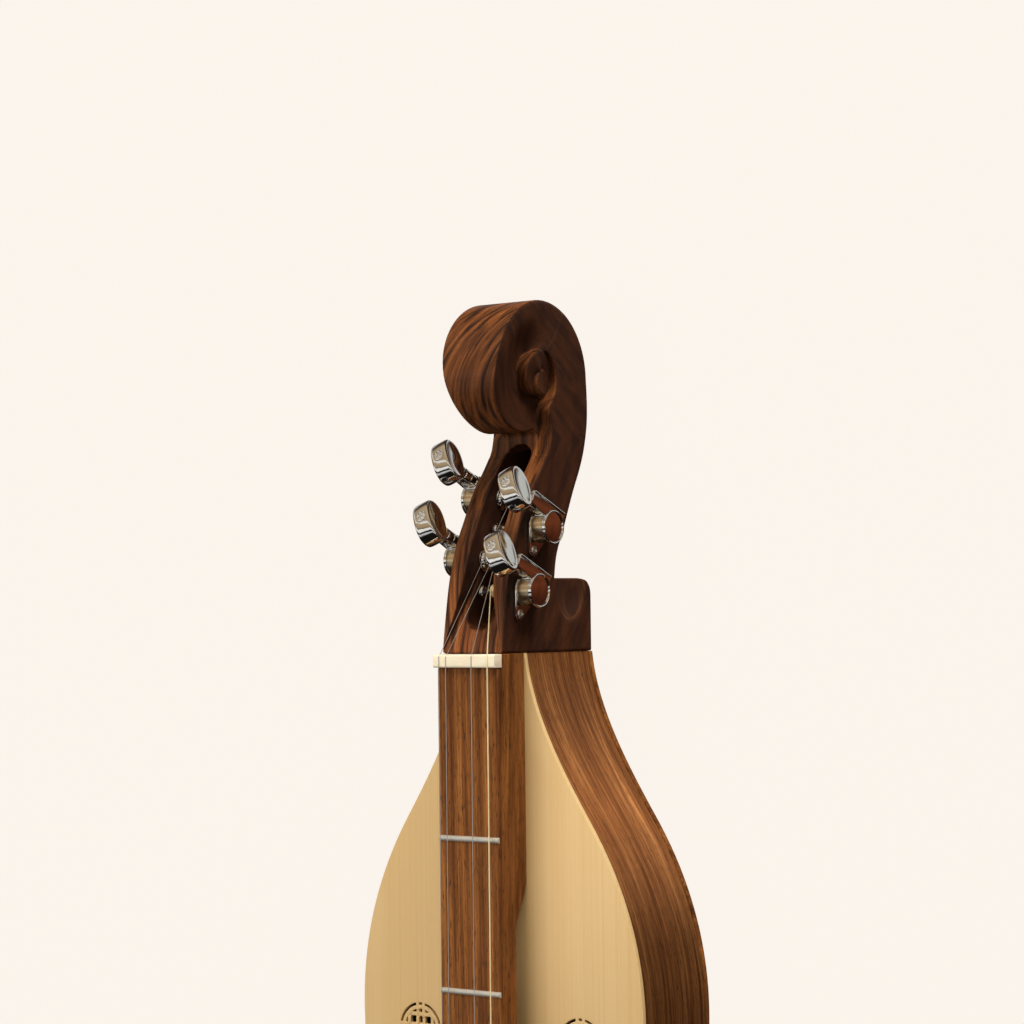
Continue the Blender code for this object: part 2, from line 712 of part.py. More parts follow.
def button_mesh():
    """An oval button, broad across the pegbox and flat on its two sides, bored for the shaft."""
    thick, wide, long_ = BUTTON_SIZE
    half = thick / 2
    edge, flat = BUTTON_EDGE
    rings = []
    for x, scale in ((-half, flat), (-half + edge, 1.0), (half - edge, 1.0), (half, flat)):
        rings.append([(x, wide / 2 * scale * math.cos(a), BUTTON_AT + long_ / 2 * scale * math.sin(a))
                      for a in (2 * math.pi * i / 24 for i in range(24))])
    start = link("button", rings_mesh("button", rings), None, CUTTERS)
    join(start, rod_mesh("collar", COLLAR_R, (0, 0, COLLAR[0]), (0, 0, COLLAR[1]), 16))
    cut(start, rod_mesh("button_bore", BUTTON_BORE_R, (0, 0, COLLAR[0] - 1), (0, 0, SHAFT[1] + GAP), 16))
    return baked(start)


def bushing_mesh():
    """A flanged sleeve that lines the post's hole; its flange shows inside the slot."""
    wall = HALF_WIDE - SLOT_HALF
    start = link("bushing", on_post("bushing", BUSHING_R, -GAP, -wall - FLANGE_OUT / 2), None, CUTTERS)
    join(start, on_post("flange", FLANGE_R, -wall - GAP, -wall - FLANGE_OUT))
    cut(start, on_post("sleeve_bore", POST_BORE_R, 1.0, -wall - 2 * FLANGE_OUT))
    return baked(start)


def flipped(mesh):
    """A copy for the left side of the head."""
    other = mesh.copy()
    other.transform(Matrix.Diagonal((-1, 1, 1, 1)))
    other.flip_normals()
    return other


def build_tuners():
    shapes = {
        "housing": (housing_mesh(), CHROME),
        "post": (post_mesh(), CHROME),
        "worm": (worm_mesh(), CHROME),
        "button": (button_mesh(), CHROME),
        "bushing": (bushing_mesh(), CHROME),
    }
    left = {key: (flipped(mesh), look) for key, (mesh, look) in shapes.items()}
    for key, side, station, z, _ in TUNERS:
        frame = bpy.data.objects.new(TUNER_NAMES[key], None)
        PARTS.objects.link(frame)
        frame.matrix_world = (Matrix.Translation(place(station, side * HALF_WIDE, z) * MM)
                              @ Matrix.Rotation(-PEGBOX_TILT, 4, "X"))
        shaft = bpy.data.objects.new(TUNER_NAMES[key] + "_shaft", None)
        PARTS.objects.link(shaft)
        shaft.parent = frame
        shaft.location = Vector((side * WORM_X, WORM_Y, 0)) * MM
        for piece, (mesh, look) in (shapes if side > 0 else left).items():
            obj = link(TUNER_NAMES[key] + "_" + piece, mesh, look, PARTS)
            obj.parent = shaft if piece in ("worm", "button") else frame
            obj.rotation_euler.z = KEY_REST if piece == "button" else 0.0


# ---------------------------------------------------------------- strings

def string_route(x, radius, tuner):
    """From the tail pin, over the tail, bridge and nut, then down to the post and round it."""
    _, _, station, z, wind_x = next(row for row in TUNERS if row[0] == tuner)
    lift = GAP + radius
    nut_top = TOTAL_FRONT + NUT_HIGH + lift
    bridge_top = TOTAL_FRONT + BRIDGE_HIGH + lift
    tail_top = TOTAL_FRONT - BEHIND_BRIDGE_DROP + lift
    crest, leave = BRIDGE_CREST, HEAD_JOINT - NUT_CORNER
    route = [place(TAIL - 1.0, x, PIN_Z + PIN_R + lift), place(TAIL - 1.0, x, tail_top - TAIL_ROUND),
             place(TAIL + NUT_CORNER, x, tail_top), place(-SCALE - crest, x, bridge_top),
             place(-SCALE + crest, x, bridge_top), place(NUT_CORNER, x, nut_top), place(leave, x, nut_top)]
    start = Vector((leave - station, nut_top - z))
    around = SPOOL_R + lift
    turn = math.atan2(start.y, start.x) - math.acos(around / start.length)
    pitch = 2 * radius + STRING_SPACE
    for i in range(STRING_TURNS * STRING_TURN_POINTS + 1):
        at = turn - 2 * math.pi * i / STRING_TURN_POINTS
        out = around / math.cos(math.pi / STRING_TURN_POINTS)
        route.append(place(station + out * math.cos(at), wind_x + pitch * i / STRING_TURN_POINTS,
                           z + out * math.sin(at)))
    return route


def build_strings():
    for name, x, radius, tuner in STRINGS:
        look = BRONZE if name == "string_bass" else STEEL
        tube(name, string_route(x, radius, tuner), radius, look)
        pin = "pin_" + name.removeprefix("string_")
        link(pin, rod_mesh(pin, PIN_R, place(TAIL - PIN_OUT, x, PIN_Z), place(TAIL + PIN_DEEP, x, PIN_Z), 12),
             NICKEL, PARTS)


def build_tail_block():
    build_block("tail_block", TAIL_BLOCK_START, TAIL, 4)
    block = bpy.data.objects["tail_block"]
    for _, x, _, _ in STRINGS:
        cut(block, rod_mesh("pin_hole", PIN_R + 0.25, place(TAIL - 2, x, PIN_Z),
                            place(TAIL + PIN_DEEP + 1, x, PIN_Z), 10))


clear_scene()
PARTS = make_collection("appalachian_dulcimer")
CUTTERS = make_collection("cutters")
SPRUCE = material("spruce", (0.78, 0.60, 0.36), 0.45)
WALNUT = material("walnut", (0.25, 0.12, 0.06), 0.42)
DARK_WALNUT = material("dark_walnut", (0.13, 0.06, 0.03), 0.38)
MAPLE = material("block_wood", (0.62, 0.45, 0.27), 0.6)
BONE = material("bone", (0.88, 0.80, 0.62), 0.35)
NICKEL = material("nickel", (0.72, 0.71, 0.68), 0.25, 1.0)
CHROME = material("chrome", (0.80, 0.80, 0.80), 0.08, 1.0)
STEEL = material("string_steel", (0.62, 0.62, 0.62), 0.25, 1.0)
BRONZE = material("wound_bronze", (0.72, 0.55, 0.25), 0.3, 1.0)

plate("back", 0.0, BACK_THICK, WALNUT)
build_soundboard()
build_rib("rib_right", 1)
build_rib("rib_left", -1)
build_block("head_block", HEAD_JOINT, HEAD_BLOCK_END, 5)
build_tail_block()
build_braces()
build_fretboard()
build_frets()
build_nut()
build_bridge()
build_head()
build_tuners()
build_strings()
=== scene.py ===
"""The looks of an appalachian dulcimer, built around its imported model.

Lengths are millimetres unless a name ends in _M. A place is (x, station, z): a station is measured along
the strings from the nut's front edge, positive towards the scroll, and z is the height above the back.
"""
import json
import math

import bmesh
import bpy
import numpy as np
from mathutils import Matrix, Vector


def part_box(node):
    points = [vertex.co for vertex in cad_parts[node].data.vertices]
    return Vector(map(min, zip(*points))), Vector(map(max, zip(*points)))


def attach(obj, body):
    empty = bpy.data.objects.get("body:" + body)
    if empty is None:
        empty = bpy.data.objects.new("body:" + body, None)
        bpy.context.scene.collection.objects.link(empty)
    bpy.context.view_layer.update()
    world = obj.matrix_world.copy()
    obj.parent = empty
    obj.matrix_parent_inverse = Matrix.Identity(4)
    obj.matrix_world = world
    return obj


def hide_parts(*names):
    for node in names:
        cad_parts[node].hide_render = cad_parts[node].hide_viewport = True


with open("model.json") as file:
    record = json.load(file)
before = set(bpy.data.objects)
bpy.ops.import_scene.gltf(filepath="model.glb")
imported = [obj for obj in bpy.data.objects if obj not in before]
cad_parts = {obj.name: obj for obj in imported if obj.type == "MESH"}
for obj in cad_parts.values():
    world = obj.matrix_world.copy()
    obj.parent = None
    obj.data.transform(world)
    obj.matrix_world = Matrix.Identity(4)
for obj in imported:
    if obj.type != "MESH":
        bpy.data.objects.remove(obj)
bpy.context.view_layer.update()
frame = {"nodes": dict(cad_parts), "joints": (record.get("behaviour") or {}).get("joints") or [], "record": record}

MM = 0.001
BODY = "dulcimer"


def box_mm(node):
    low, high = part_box(node)
    return low / MM, high / MM


# ---- places taken from the frame

NUT_LOW, NUT_HIGH = box_mm("nut")
NUT_PLAY = 0.2              # the CAD's clearance between the nut and the seat that it stands in
NUT_Y = NUT_LOW.y - NUT_PLAY
BOARD_HIGH = box_mm("fretboard")[1]
FACE_Z = BOARD_HIGH.z
HALF_WIDE = BOARD_HIGH.x
TOP_LOW, TOP_HIGH = box_mm("soundboard")
BODY_Z = TOP_HIGH.z
TAIL = TOP_LOW.y - NUT_Y
HEAD_JOINT = TOP_HIGH.y - NUT_Y
BACK_Z = box_mm("back")[1].z
BRIDGE_LOW, BRIDGE_HIGH = box_mm("bridge")
BRIDGE_AT = (BRIDGE_LOW.y + BRIDGE_HIGH.y) / 2 - NUT_Y
FRETS = sorted(n for n in frame["nodes"] if n.startswith("fret_"))
TUNERS = ("tuner_right_lower", "tuner_left_lower", "tuner_right_upper", "tuner_left_upper")
JOINTS = {j["name"]: j for j in frame["joints"]}
_, KEY_UP, KEY_OUT = JOINTS["tuner_right_lower_key_turn"]["axis"]
TILT = math.atan2(KEY_UP, KEY_OUT)


def post_place(tuner):
    """Side, station and height of a tuner's string post."""
    x, y, z = (v / MM for v in JOINTS[tuner + "_post_turn"]["pos_m"])
    return (1 if x > 0 else -1), y - NUT_Y, z


# ---- shape helpers

def spot(x, station, z):
    return Vector((x, NUT_Y + station, z))


def linked(name, data):
    obj = bpy.data.objects.new(name, data)
    bpy.context.scene.collection.objects.link(obj)
    return obj


def piece(name, mesh, look, replaces=(), body=BODY, sharp=35):
    """Puts a mesh, whose points are in metres in the frame, on a body. sharp is the angle, in degrees, from
    which an edge is hard; None leaves none hard."""
    smooth_shade(mesh, sharp)
    obj = linked(name, mesh)
    mesh.materials.clear()
    mesh.materials.append(look)
    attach(obj, body)
    if replaces:
        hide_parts(*replaces)


def mesh_of(name, points, faces):
    """A mesh from points in millimetres."""
    mesh = bpy.data.meshes.new(name)
    mesh.from_pydata([Vector(p) * MM for p in points], [], faces)
    mesh.validate()
    work = bmesh.new()
    work.from_mesh(mesh)
    bmesh.ops.recalc_face_normals(work, faces=work.faces)
    work.to_mesh(mesh)
    work.free()
    return mesh


def smooth_shade(mesh, sharp=35):
    mesh.shade_smooth()
    if sharp:
        mesh.set_sharp_from_angle(angle=math.radians(sharp))


def evaluated(obj):
    """The object's mesh with its modifiers applied; the object is removed."""
    bpy.context.view_layer.update()
    mesh = bpy.data.meshes.new_from_object(obj.evaluated_get(bpy.context.evaluated_depsgraph_get()))
    mesh.name = obj.name
    bpy.data.objects.remove(obj, do_unlink=True)
    return mesh


def loft(name, rings, closed_ends=True):
    """A skin over rings of as many points each."""
    count = len(rings[0])
    points = [p for ring in rings for p in ring]
    faces = []
    for r in range(len(rings) - 1):
        for i in range(count):
            j = (i + 1) % count
            faces.append((r * count + i, r * count + j, (r + 1) * count + j, (r + 1) * count + i))
    if closed_ends:
        faces.append(tuple(range(count))[::-1])
        faces.append(tuple(range(len(points) - count, len(points))))
    return mesh_of(name, points, faces)


def turned(name, profile, steps, centre=(0, 0, 0), axis="X", closed_ends=True):
    """A turned solid: profile is (along, radius) from end to end, about X or Z through the centre."""
    rings = []
    for along, radius in profile:
        ring = []
        for i in range(steps):
            a = 2 * math.pi * i / steps
            u, v = radius * math.cos(a), radius * math.sin(a)
            offset = (along, u, v) if axis == "X" else (u, v, along)
            ring.append(tuple(c + o for c, o in zip(centre, offset)))
        rings.append(ring)
    return loft(name, rings, closed_ends)


def slab(name, outline, axis, low, high, bevel=0.0, segments=2, angle=30):
    """A flat outline given thickness along X (points are Y, Z) or Z (points are X, Y), with rounded edges."""
    def at(u, v, w):
        return (w, u, v) if axis == "X" else (u, v, w)
    count = len(outline)
    points = [at(u, v, low) for u, v in outline] + [at(u, v, high) for u, v in outline]
    faces = [tuple(range(count)), tuple(range(count, 2 * count))]
    faces += [(i, (i + 1) % count, count + (i + 1) % count, count + i) for i in range(count)]
    mesh = mesh_of(name, points, faces)
    return bevelled(mesh, bevel, segments, angle) if bevel else mesh


def modified(mesh, kind, **settings):
    """The mesh with one modifier applied."""
    obj = linked(mesh.name, mesh)
    change = obj.modifiers.new("change", kind)
    for key, value in settings.items():
        setattr(change, key, value)
    return evaluated(obj)


def bevelled(mesh, width, segments, angle):
    return modified(mesh, "BEVEL", width=width * MM, segments=segments, limit_method="ANGLE",
                    angle_limit=math.radians(angle), harden_normals=False)


def relaxed(mesh, rounds, factor=0.5):
    """Evens out the steps that sampling leaves."""
    return modified(mesh, "SMOOTH", factor=factor, iterations=rounds)


def boolean(mesh, cutters, operation="DIFFERENCE"):
    """The mesh cut by, or joined to, other meshes."""
    obj = linked(mesh.name, mesh)
    helpers = [linked(cutter.name, cutter) for cutter in cutters]
    for helper in helpers:
        change = obj.modifiers.new(helper.name, "BOOLEAN")
        change.operation = operation
        change.solver = "EXACT"
        change.object = helper
    made = evaluated(obj)
    for helper in helpers:
        bpy.data.objects.remove(helper, do_unlink=True)
    return made


def wire(name, points, radius, closed=False):
    """A round wire through points in millimetres."""
    curve = bpy.data.curves.new(name, "CURVE")
    curve.dimensions = "3D"
    curve.bevel_depth = radius * MM
    curve.bevel_resolution = 3
    curve.use_fill_caps = not closed
    spline = curve.splines.new("POLY")
    spline.points.add(len(points) - 1)
    for point, where in zip(spline.points, points):
        point.co = (*(Vector(where) * MM), 1)
    spline.use_cyclic_u = closed
    return evaluated(linked(name, curve))


def merged(name, meshes):
    """Several meshes in one, each still a body of its own."""
    work = bmesh.new()
    for mesh in meshes:
        work.from_mesh(mesh)
    made = bpy.data.meshes.new(name)
    work.to_mesh(made)
    work.free()
    return made


def block(name, low, high):
    (x0, y0, z0), (x1, y1, z1) = low, high
    return slab(name, ((x0, y0), (x1, y0), (x1, y1), (x0, y1)), "Z", z0, z1)


def arc(centre, radius, first, last, steps):
    out = []
    for i in range(steps + 1):
        a = math.radians(first + (last - first) * i / steps)
        out.append((centre[0] + radius * math.cos(a), centre[1] + radius * math.sin(a)))
    return out


def flowing(points, per=6):
    """A smooth open curve through points (Catmull-Rom), with a few steps between each two."""
    p = [Vector(v) for v in points]
    p = [p[0] * 2 - p[1], *p, p[-1] * 2 - p[-2]]
    out = []
    for a, b, c, d in zip(p, p[1:], p[2:], p[3:]):
        for i in range(per):
            t = i / per
            out.append(0.5 * ((2 * b) + (c - a) * t + (2 * a - 5 * b + 4 * c - d) * t**2
                              + (3 * b - a - 3 * c + d) * t**3))
    out.append(p[-2])
    return [tuple(v) for v in out]


# ---- solids from fields
# A field is negative inside the solid. Its zero surface becomes the mesh.

def polygon_field(u, v, outline):
    """Signed distance from a grid of points to a closed outline."""
    ends = np.array(outline)
    nearest = np.full(u.shape, 1e9)
    inside = np.zeros(u.shape, bool)
    for (u0, v0), (u1, v1) in zip(ends, np.roll(ends, -1, axis=0)):
        du, dv = u1 - u0, v1 - v0
        t = np.clip(((u - u0) * du + (v - v0) * dv) / (du * du + dv * dv + 1e-12), 0, 1)
        nearest = np.minimum(nearest, (u - u0 - t * du) ** 2 + (v - v0 - t * dv) ** 2)
        if v0 != v1:
            crosses = (v0 > v) != (v1 > v)
            inside ^= crosses & (u < u0 + (v - v0) * du / dv)
    distance = np.sqrt(nearest)
    return np.where(inside, -distance, distance)


def both(a, b, soft=0.0):
    """Where both fields are inside; soft rounds the edge between them."""
    if soft == 0.0:
        return np.maximum(a, b)
    h = np.clip(soft - np.abs(a - b), 0, None) / soft
    return np.maximum(a, b) + h * h * soft / 4


def either(a, b, soft=0.0):
    return -both(-a, -b, soft)


def without(a, b, soft=0.0):
    return both(a, -b, soft)


def skin(name, field, low, step):
    """The zero surface of a sampled field: one point in each crossed cell, one quad for each crossed edge."""
    shape = tuple(n - 1 for n in field.shape)
    total = np.zeros((*shape, 3))
    count = np.zeros(shape)
    crossings = []
    for axis in range(3):
        first = [slice(None)] * 3
        second = [slice(None)] * 3
        first[axis], second[axis] = slice(None, -1), slice(1, None)
        f0, f1 = field[tuple(first)], field[tuple(second)]
        index = np.argwhere((f0 < 0) != (f1 < 0))
        g0, g1 = f0[tuple(index.T)], f1[tuple(index.T)]
        place = index.astype(float)
        place[:, axis] += g0 / (g0 - g1)
        u, v = [a for a in range(3) if a != axis]
        around = []
        for back_u, back_v in ((0, 0), (1, 0), (1, 1), (0, 1)):
            cell = index.copy()
            cell[:, u] -= back_u
            cell[:, v] -= back_v
            around.append(cell)
        good = np.all([((c >= 0) & (c < np.array(shape))).all(axis=1) for c in around], axis=0)
        for cell in around:
            np.add.at(total, tuple(cell[good].T), place[good])
            np.add.at(count, tuple(cell[good].T), 1)
        crossings.append((around, good, (g0 < 0) ^ (axis == 1)))
    used = count > 0
    numbers = np.full(shape, -1)
    numbers[used] = np.arange(used.sum())
    points = (total[used] / count[used][:, None] * step + np.array(low)) * MM
    faces = []
    for around, good, turn in crossings:
        quad = np.stack([numbers[tuple(c[good].T)] for c in around], axis=1)
        quad[~turn[good]] = quad[~turn[good]][:, ::-1]
        faces.append(quad)
    faces = np.concatenate(faces)
    mesh = bpy.data.meshes.new(name)
    mesh.vertices.add(len(points))
    mesh.vertices.foreach_set("co", points.astype(np.float32).ravel())
    mesh.loops.add(faces.size)
    mesh.loops.foreach_set("vertex_index", faces.astype(np.int32).ravel())
    mesh.polygons.add(len(faces))
    mesh.polygons.foreach_set("loop_start", np.arange(0, faces.size, 4, dtype=np.int32))
    mesh.update(calc_edges=True)
    mesh.validate()
    return mesh


def grid(low, high, step):
    axes = [np.arange(a, b + step, step) for a, b in zip(low, high)]
    return np.meshgrid(*axes, indexing="ij", sparse=True)


# ---- materials

class Graph:
    """Short calls that add nodes to a node tree."""

    def __init__(self, tree):
        self.tree = tree

    def add(self, kind, inputs=None, **settings):
        node = self.tree.nodes.new(kind)
        for key, value in settings.items():
            setattr(node, key, value)
        for key, value in (inputs or {}).items():
            self.feed(node.inputs[key], value)
        return node

    def feed(self, socket, value):
        if isinstance(value, bpy.types.NodeSocket):
            self.tree.links.new(value, socket)
        elif isinstance(value, tuple) and socket.type == "RGBA":
            socket.default_value = (*value[:3], 1.0)
        else:
            socket.default_value = value

    def math(self, operation, a, b=0.0, clamp=False):
        return self.add("ShaderNodeMath", {0: a, 1: b}, operation=operation, use_clamp=clamp).outputs[0]

    def ramp(self, value, stops):
        node = self.add("ShaderNodeValToRGB", {0: value})
        while len(node.color_ramp.elements) < len(stops):
            node.color_ramp.elements.new(0.5)
        for element, (at, colour) in zip(node.color_ramp.elements, stops):
            element.position = at
            element.color = (*colour, 1.0)
        return node.outputs["Color"]

    def between(self, value, low, high, first=0.0, last=1.0):
        """first below low, last above high."""
        return self.add("ShaderNodeMapRange", {"Value": value, "From Min": low, "From Max": high,
                                               "To Min": first, "To Max": last}).outputs[0]

    def blend(self, amount, a, b, kind="MIX"):
        return self.add("ShaderNodeMix", {0: amount, 6: a, 7: b}, data_type="RGBA", blend_type=kind).outputs[2]


class Look(Graph):
    """A material with a Principled shader."""

    def __init__(self, name, **sockets):
        self.material = bpy.data.materials.new(name)
        self.material.use_nodes = True
        super().__init__(self.material.node_tree)
        self.shader = self.tree.nodes["Principled BSDF"]
        for key, value in sockets.items():
            self.feed(self.shader.inputs[key.replace("_", " ")], value)
        self.where = self.add("ShaderNodeTexCoord").outputs["Object"]

    def bent_grain(self):
        """The place in millimetres in a bent board: through it, along its curve, and up its width."""
        return self.add("ShaderNodeAttribute", attribute_name="grain").outputs["Vector"]

    def along(self, direction):
        """Distance in millimetres along a direction."""
        scaled = tuple(Vector(direction).normalized() / MM)
        node = self.add("ShaderNodeVectorMath", {0: self.where, 1: scaled}, operation="DOT_PRODUCT")
        return node.outputs["Value"]

    def place(self):
        """x, y and z in millimetres."""
        return [self.along(axis) for axis in ((1, 0, 0), (0, 1, 0), (0, 0, 1))]

    def vector(self, x, y, z):
        return self.add("ShaderNodeCombineXYZ", {0: x, 1: y, 2: z}).outputs[0]

    def noise(self, where, sizes, detail=3.0, rough=0.5, distortion=0.0):
        """Noise whose features have these sizes along the three directions of a vector."""
        scales = tuple(1 / size for size in sizes)
        scaled = self.add("ShaderNodeVectorMath", {0: where, 1: scales}, operation="MULTIPLY")
        return self.add("ShaderNodeTexNoise", {"Vector": scaled.outputs[0], "Scale": 1.0, "Detail": detail,
                                               "Roughness": rough, "Distortion": distortion}).outputs["Fac"]

    def shades(self, value, first, last):
        """A colour between two, as a noise goes from its lows to its highs."""
        return self.ramp(self.between(value, 0.3, 0.7), ((0.0, first), (1.0, last)))

    def set(self, socket, value):
        self.tree.links.new(value, self.shader.inputs[socket])

    def bump(self, height, distance, strength=1.0):
        node = self.add("ShaderNodeBump", {"Height": height, "Distance": distance * MM, "Strength": strength})
        self.set("Normal", node.outputs[0])


def layered(look, across, along):
    """A vector in millimetres: across the growth layers, along the grain, and square to both."""
    across, along = Vector(across).normalized(), Vector(along).normalized()
    third = across.cross(along)
    return look.vector(look.along(across), look.along(along), look.along(third))


def board_grain(look):
    """A place in the flat boards, whose fibres follow the strings."""
    return layered(look, (1, 0.012, 0.35), (0, 1, 0))


def scroll_grain(look):
    """A place in the head's block, whose fibres follow the pegbox and then lean across the scroll."""
    x, y, z = look.place()
    above = look.math("MAXIMUM", look.math("SUBTRACT", y, NUT_Y + SCROLL_FROM), 0.0)
    bend = look.math("SUBTRACT", look.math("MULTIPLY", y, 0.20), look.math("MULTIPLY", above, 0.62))
    across = look.math("ADD", look.math("ADD", x, look.math("MULTIPLY", z, 0.28)), bend)
    return look.vector(across, y, look.math("SUBTRACT", z, look.math("MULTIPLY", x, 0.28)))


def hardwood(name, stops, grain, band, depth, rough, coat, painted_side_shade=None, painted_light_along=None):
    """Walnut: broad bands of colour, fine streaks, and short dark pores that lie along the grain. depth is how
    strong the streaks and the pores are; painted_side_shade is painted shade, the dark colour that its left and
    right faces are mixed towards; painted_light_along are factors of its colour along the board: painted sheen and
    darker stretches."""
    look = Look(name, Coat_Weight=coat, Coat_Roughness=0.25, IOR=1.42, Specular_IOR_Level=0.15)
    where = grain(look)
    streak_depth, pore_depth = depth
    colour = look.ramp(look.noise(where, band, 3.0, 0.55, 0.2 if painted_side_shade else 0.6), stops)
    streaks = look.noise(where, STREAK_SIZES, 4.0, 0.65)
    streak_tones = look.ramp(look.between(streaks, 0.36, 0.70), STREAK_TONES)
    colour = look.blend(streak_depth, colour, streak_tones, "MULTIPLY")
    pore = look.between(look.noise(where, PORE_SIZES, 2.0, 0.55), 0.57, 0.68)
    colour = look.blend(look.math("MULTIPLY", pore, pore_depth), colour, PORE_COLOUR)
    # Painted light along the board: stretches made lighter stand in for sheen, and others are made darker.
    if painted_light_along:
        run = look.add("ShaderNodeSeparateXYZ", {0: where}).outputs[1]
        factor = look.ramp(look.between(run, 0.0, BOARD_LONG), [(at, (f, f, f)) for at, f in painted_light_along])
        colour = look.blend(1.0, colour, factor, "MULTIPLY")
    if painted_side_shade:
        near_nut = look.between(look.along((0, 1, 0)), NUT_Y + 48.0, NUT_Y + 8.0)
        colour = look.blend(near_nut, colour, NEAR_NUT_TONE, "MULTIPLY")
        # Painted shade: faces that point left or right are mixed towards a dark colour, as if they lay in shade.
        normal = look.add("ShaderNodeTexCoord").outputs["Normal"]
        faces = look.add("ShaderNodeSeparateXYZ", {0: normal}).outputs[0]
        side_shade_amount = look.between(look.math("ABSOLUTE", faces), 0.45, 0.9, 0.0, 0.8)
        colour = look.blend(side_shade_amount, colour, painted_side_shade)
    look.set("Base Color", colour)
    smudge = look.noise(where, (9.0, 14.0, 9.0), 3.0)
    look.set("Roughness", look.between(smudge, 0.15 - rough, 1.15 + 0.6 * rough, rough - 0.08, rough + 0.12))
    look.bump(look.math("SUBTRACT", look.math("MULTIPLY", streaks, 0.5), pore), 0.035, 0.7)
    return look.material


def spruce():
    """Pale and straight-grained: close growth lines along the strings, with a slow change of tone."""
    look = Look("spruce_look", Coat_Weight=0.10, Coat_Roughness=0.25, IOR=1.45, Subsurface_Weight=0.04,
                Subsurface_Scale=0.002)
    where = layered(look, (1, 0, 0.04), (0.004, 1, 0))
    lines = look.noise(where, (0.6, 400.0, 9.0), 2.0, 0.7)
    wide = look.noise(where, (14.0, 700.0, 40.0), 2.0, 0.5)
    colour = look.shades(wide, (0.635, 0.438, 0.200), (0.680, 0.486, 0.238))
    late = look.between(lines, 0.48, 0.74, 0.0, 0.42)
    colour = look.blend(late, colour, (0.56, 0.33, 0.125))
    fleck = look.noise(where, (0.5, 7.0, 0.5), 2.0)
    colour = look.blend(look.between(fleck, 0.60, 0.72, 0.0, 0.18), colour, (0.80, 0.58, 0.33))
    look.set("Base Color", colour)
    look.set("Roughness", look.between(fleck, -1.2, 2.2))
    look.bump(look.math("ADD", lines, look.math("MULTIPLY", fleck, 0.3)), 0.02, 0.5)
    return look.material


def metal(name, colour, rough, grain=(0.4, 0.4, 0.4), depth=0.0015, metallic=1.0):
    """Polished metal with faint smears and fine scratches."""
    look = Look(name, Base_Color=colour, Metallic=metallic)
    where = look.vector(*look.place())
    smears = look.noise(where, (3.0, 5.0, 3.0), 4.0, 0.6)
    look.set("Roughness", look.between(smears, 0.35, 0.75, rough, rough + 0.06))
    look.bump(look.noise(where, grain, 3.0, 0.7), depth, 0.5)
    return look.material


def wound():
    """Bronze winding: fine turns across the string."""
    look = Look("wound_look", Base_Color=(1.0, 0.86, 0.52), Metallic=0.45, Roughness=0.36)
    turns = look.math("SINE", look.math("MULTIPLY", look.along((0, 1, 0)), 2 * math.pi / WINDING_PITCH))
    look.bump(turns, 0.02, 0.5)
    return look.material


def bone():
    look = Look("bone_look", IOR=1.52, Coat_Weight=0.3, Coat_Roughness=0.15, Subsurface_Weight=0.12,
                Subsurface_Scale=0.002)
    where = layered(look, (0, 1, 0), (1, 0, 0))
    cloud = look.noise(where, (2.0, 7.0, 3.0), 4.0, 0.6)
    look.set("Base Color", look.shades(cloud, (0.83, 0.74, 0.56), (0.91, 0.84, 0.67)))
    fibres = look.noise(where, (0.12, 3.0, 0.12), 2.0)
    look.set("Roughness", look.between(fibres, -0.9, 1.9))
    look.bump(fibres, 0.008, 0.4)
    return look.material


def plain_wood(name, low, high):
    look = Look(name, IOR=1.45)
    where = layered(look, (1, 0, 0.2), (0, 1, 0))
    lines = look.noise(where, (1.4, 60.0, 6.0), 4.0, 0.6)
    look.set("Base Color", look.shades(lines, low, high))
    look.set("Roughness", look.between(lines, -1.5, 1.2))
    look.bump(lines, 0.05, 0.6)
    return look.material


SCROLL_FROM = 108.0         # the station above which the head's fibres lean
BOARD_LONG = 1000.0         # the length of board that a rib's painted light and shade are given along
STREAK_SIZES = (1.0, 45.0, 5.0)
STREAK_TONES = ((0.0, (0.42, 0.36, 0.32)), (0.5, (0.9, 0.88, 0.86)), (1.0, (1.35, 1.32, 1.25)))
PORE_SIZES = (0.55, 5.0, 0.6)
PORE_COLOUR = (0.035, 0.016, 0.008)
NEAR_NUT_TONE = (1.75, 1.70, 1.65)
WINDING_PITCH = 0.16
WALNUT = hardwood(
    "walnut_look",
    ((0.28, (0.098, 0.032, 0.009)), (0.44, (0.178, 0.064, 0.017)),
     (0.57, (0.243, 0.091, 0.023)), (0.74, (0.340, 0.142, 0.038))),
    board_grain, (3.6, 260.0, 30.0), (0.8, 0.85), 0.50, 0.0)
# The ribs: painted sheen and darker stretches along their length.
RIB_WALNUT = hardwood(
    "rib_look",
    ((0.27, (0.060, 0.020, 0.006)), (0.38, (0.130, 0.046, 0.014)),
     (0.55, (0.205, 0.080, 0.025)), (0.76, (0.290, 0.125, 0.043))),
    Look.bent_grain, (5.0, 130.0, 5.0), (0.8, 0.8), 0.46, 0.05,
    painted_light_along=((0.0, 1.1), (0.03, 1.1), (0.08, 1.7), (0.11, 1.3), (0.15, 0.6), (0.22, 0.7),
           (0.32, 0.95), (0.5, 1.1), (0.65, 0.8), (0.8, 1.1), (1.0, 0.85)))
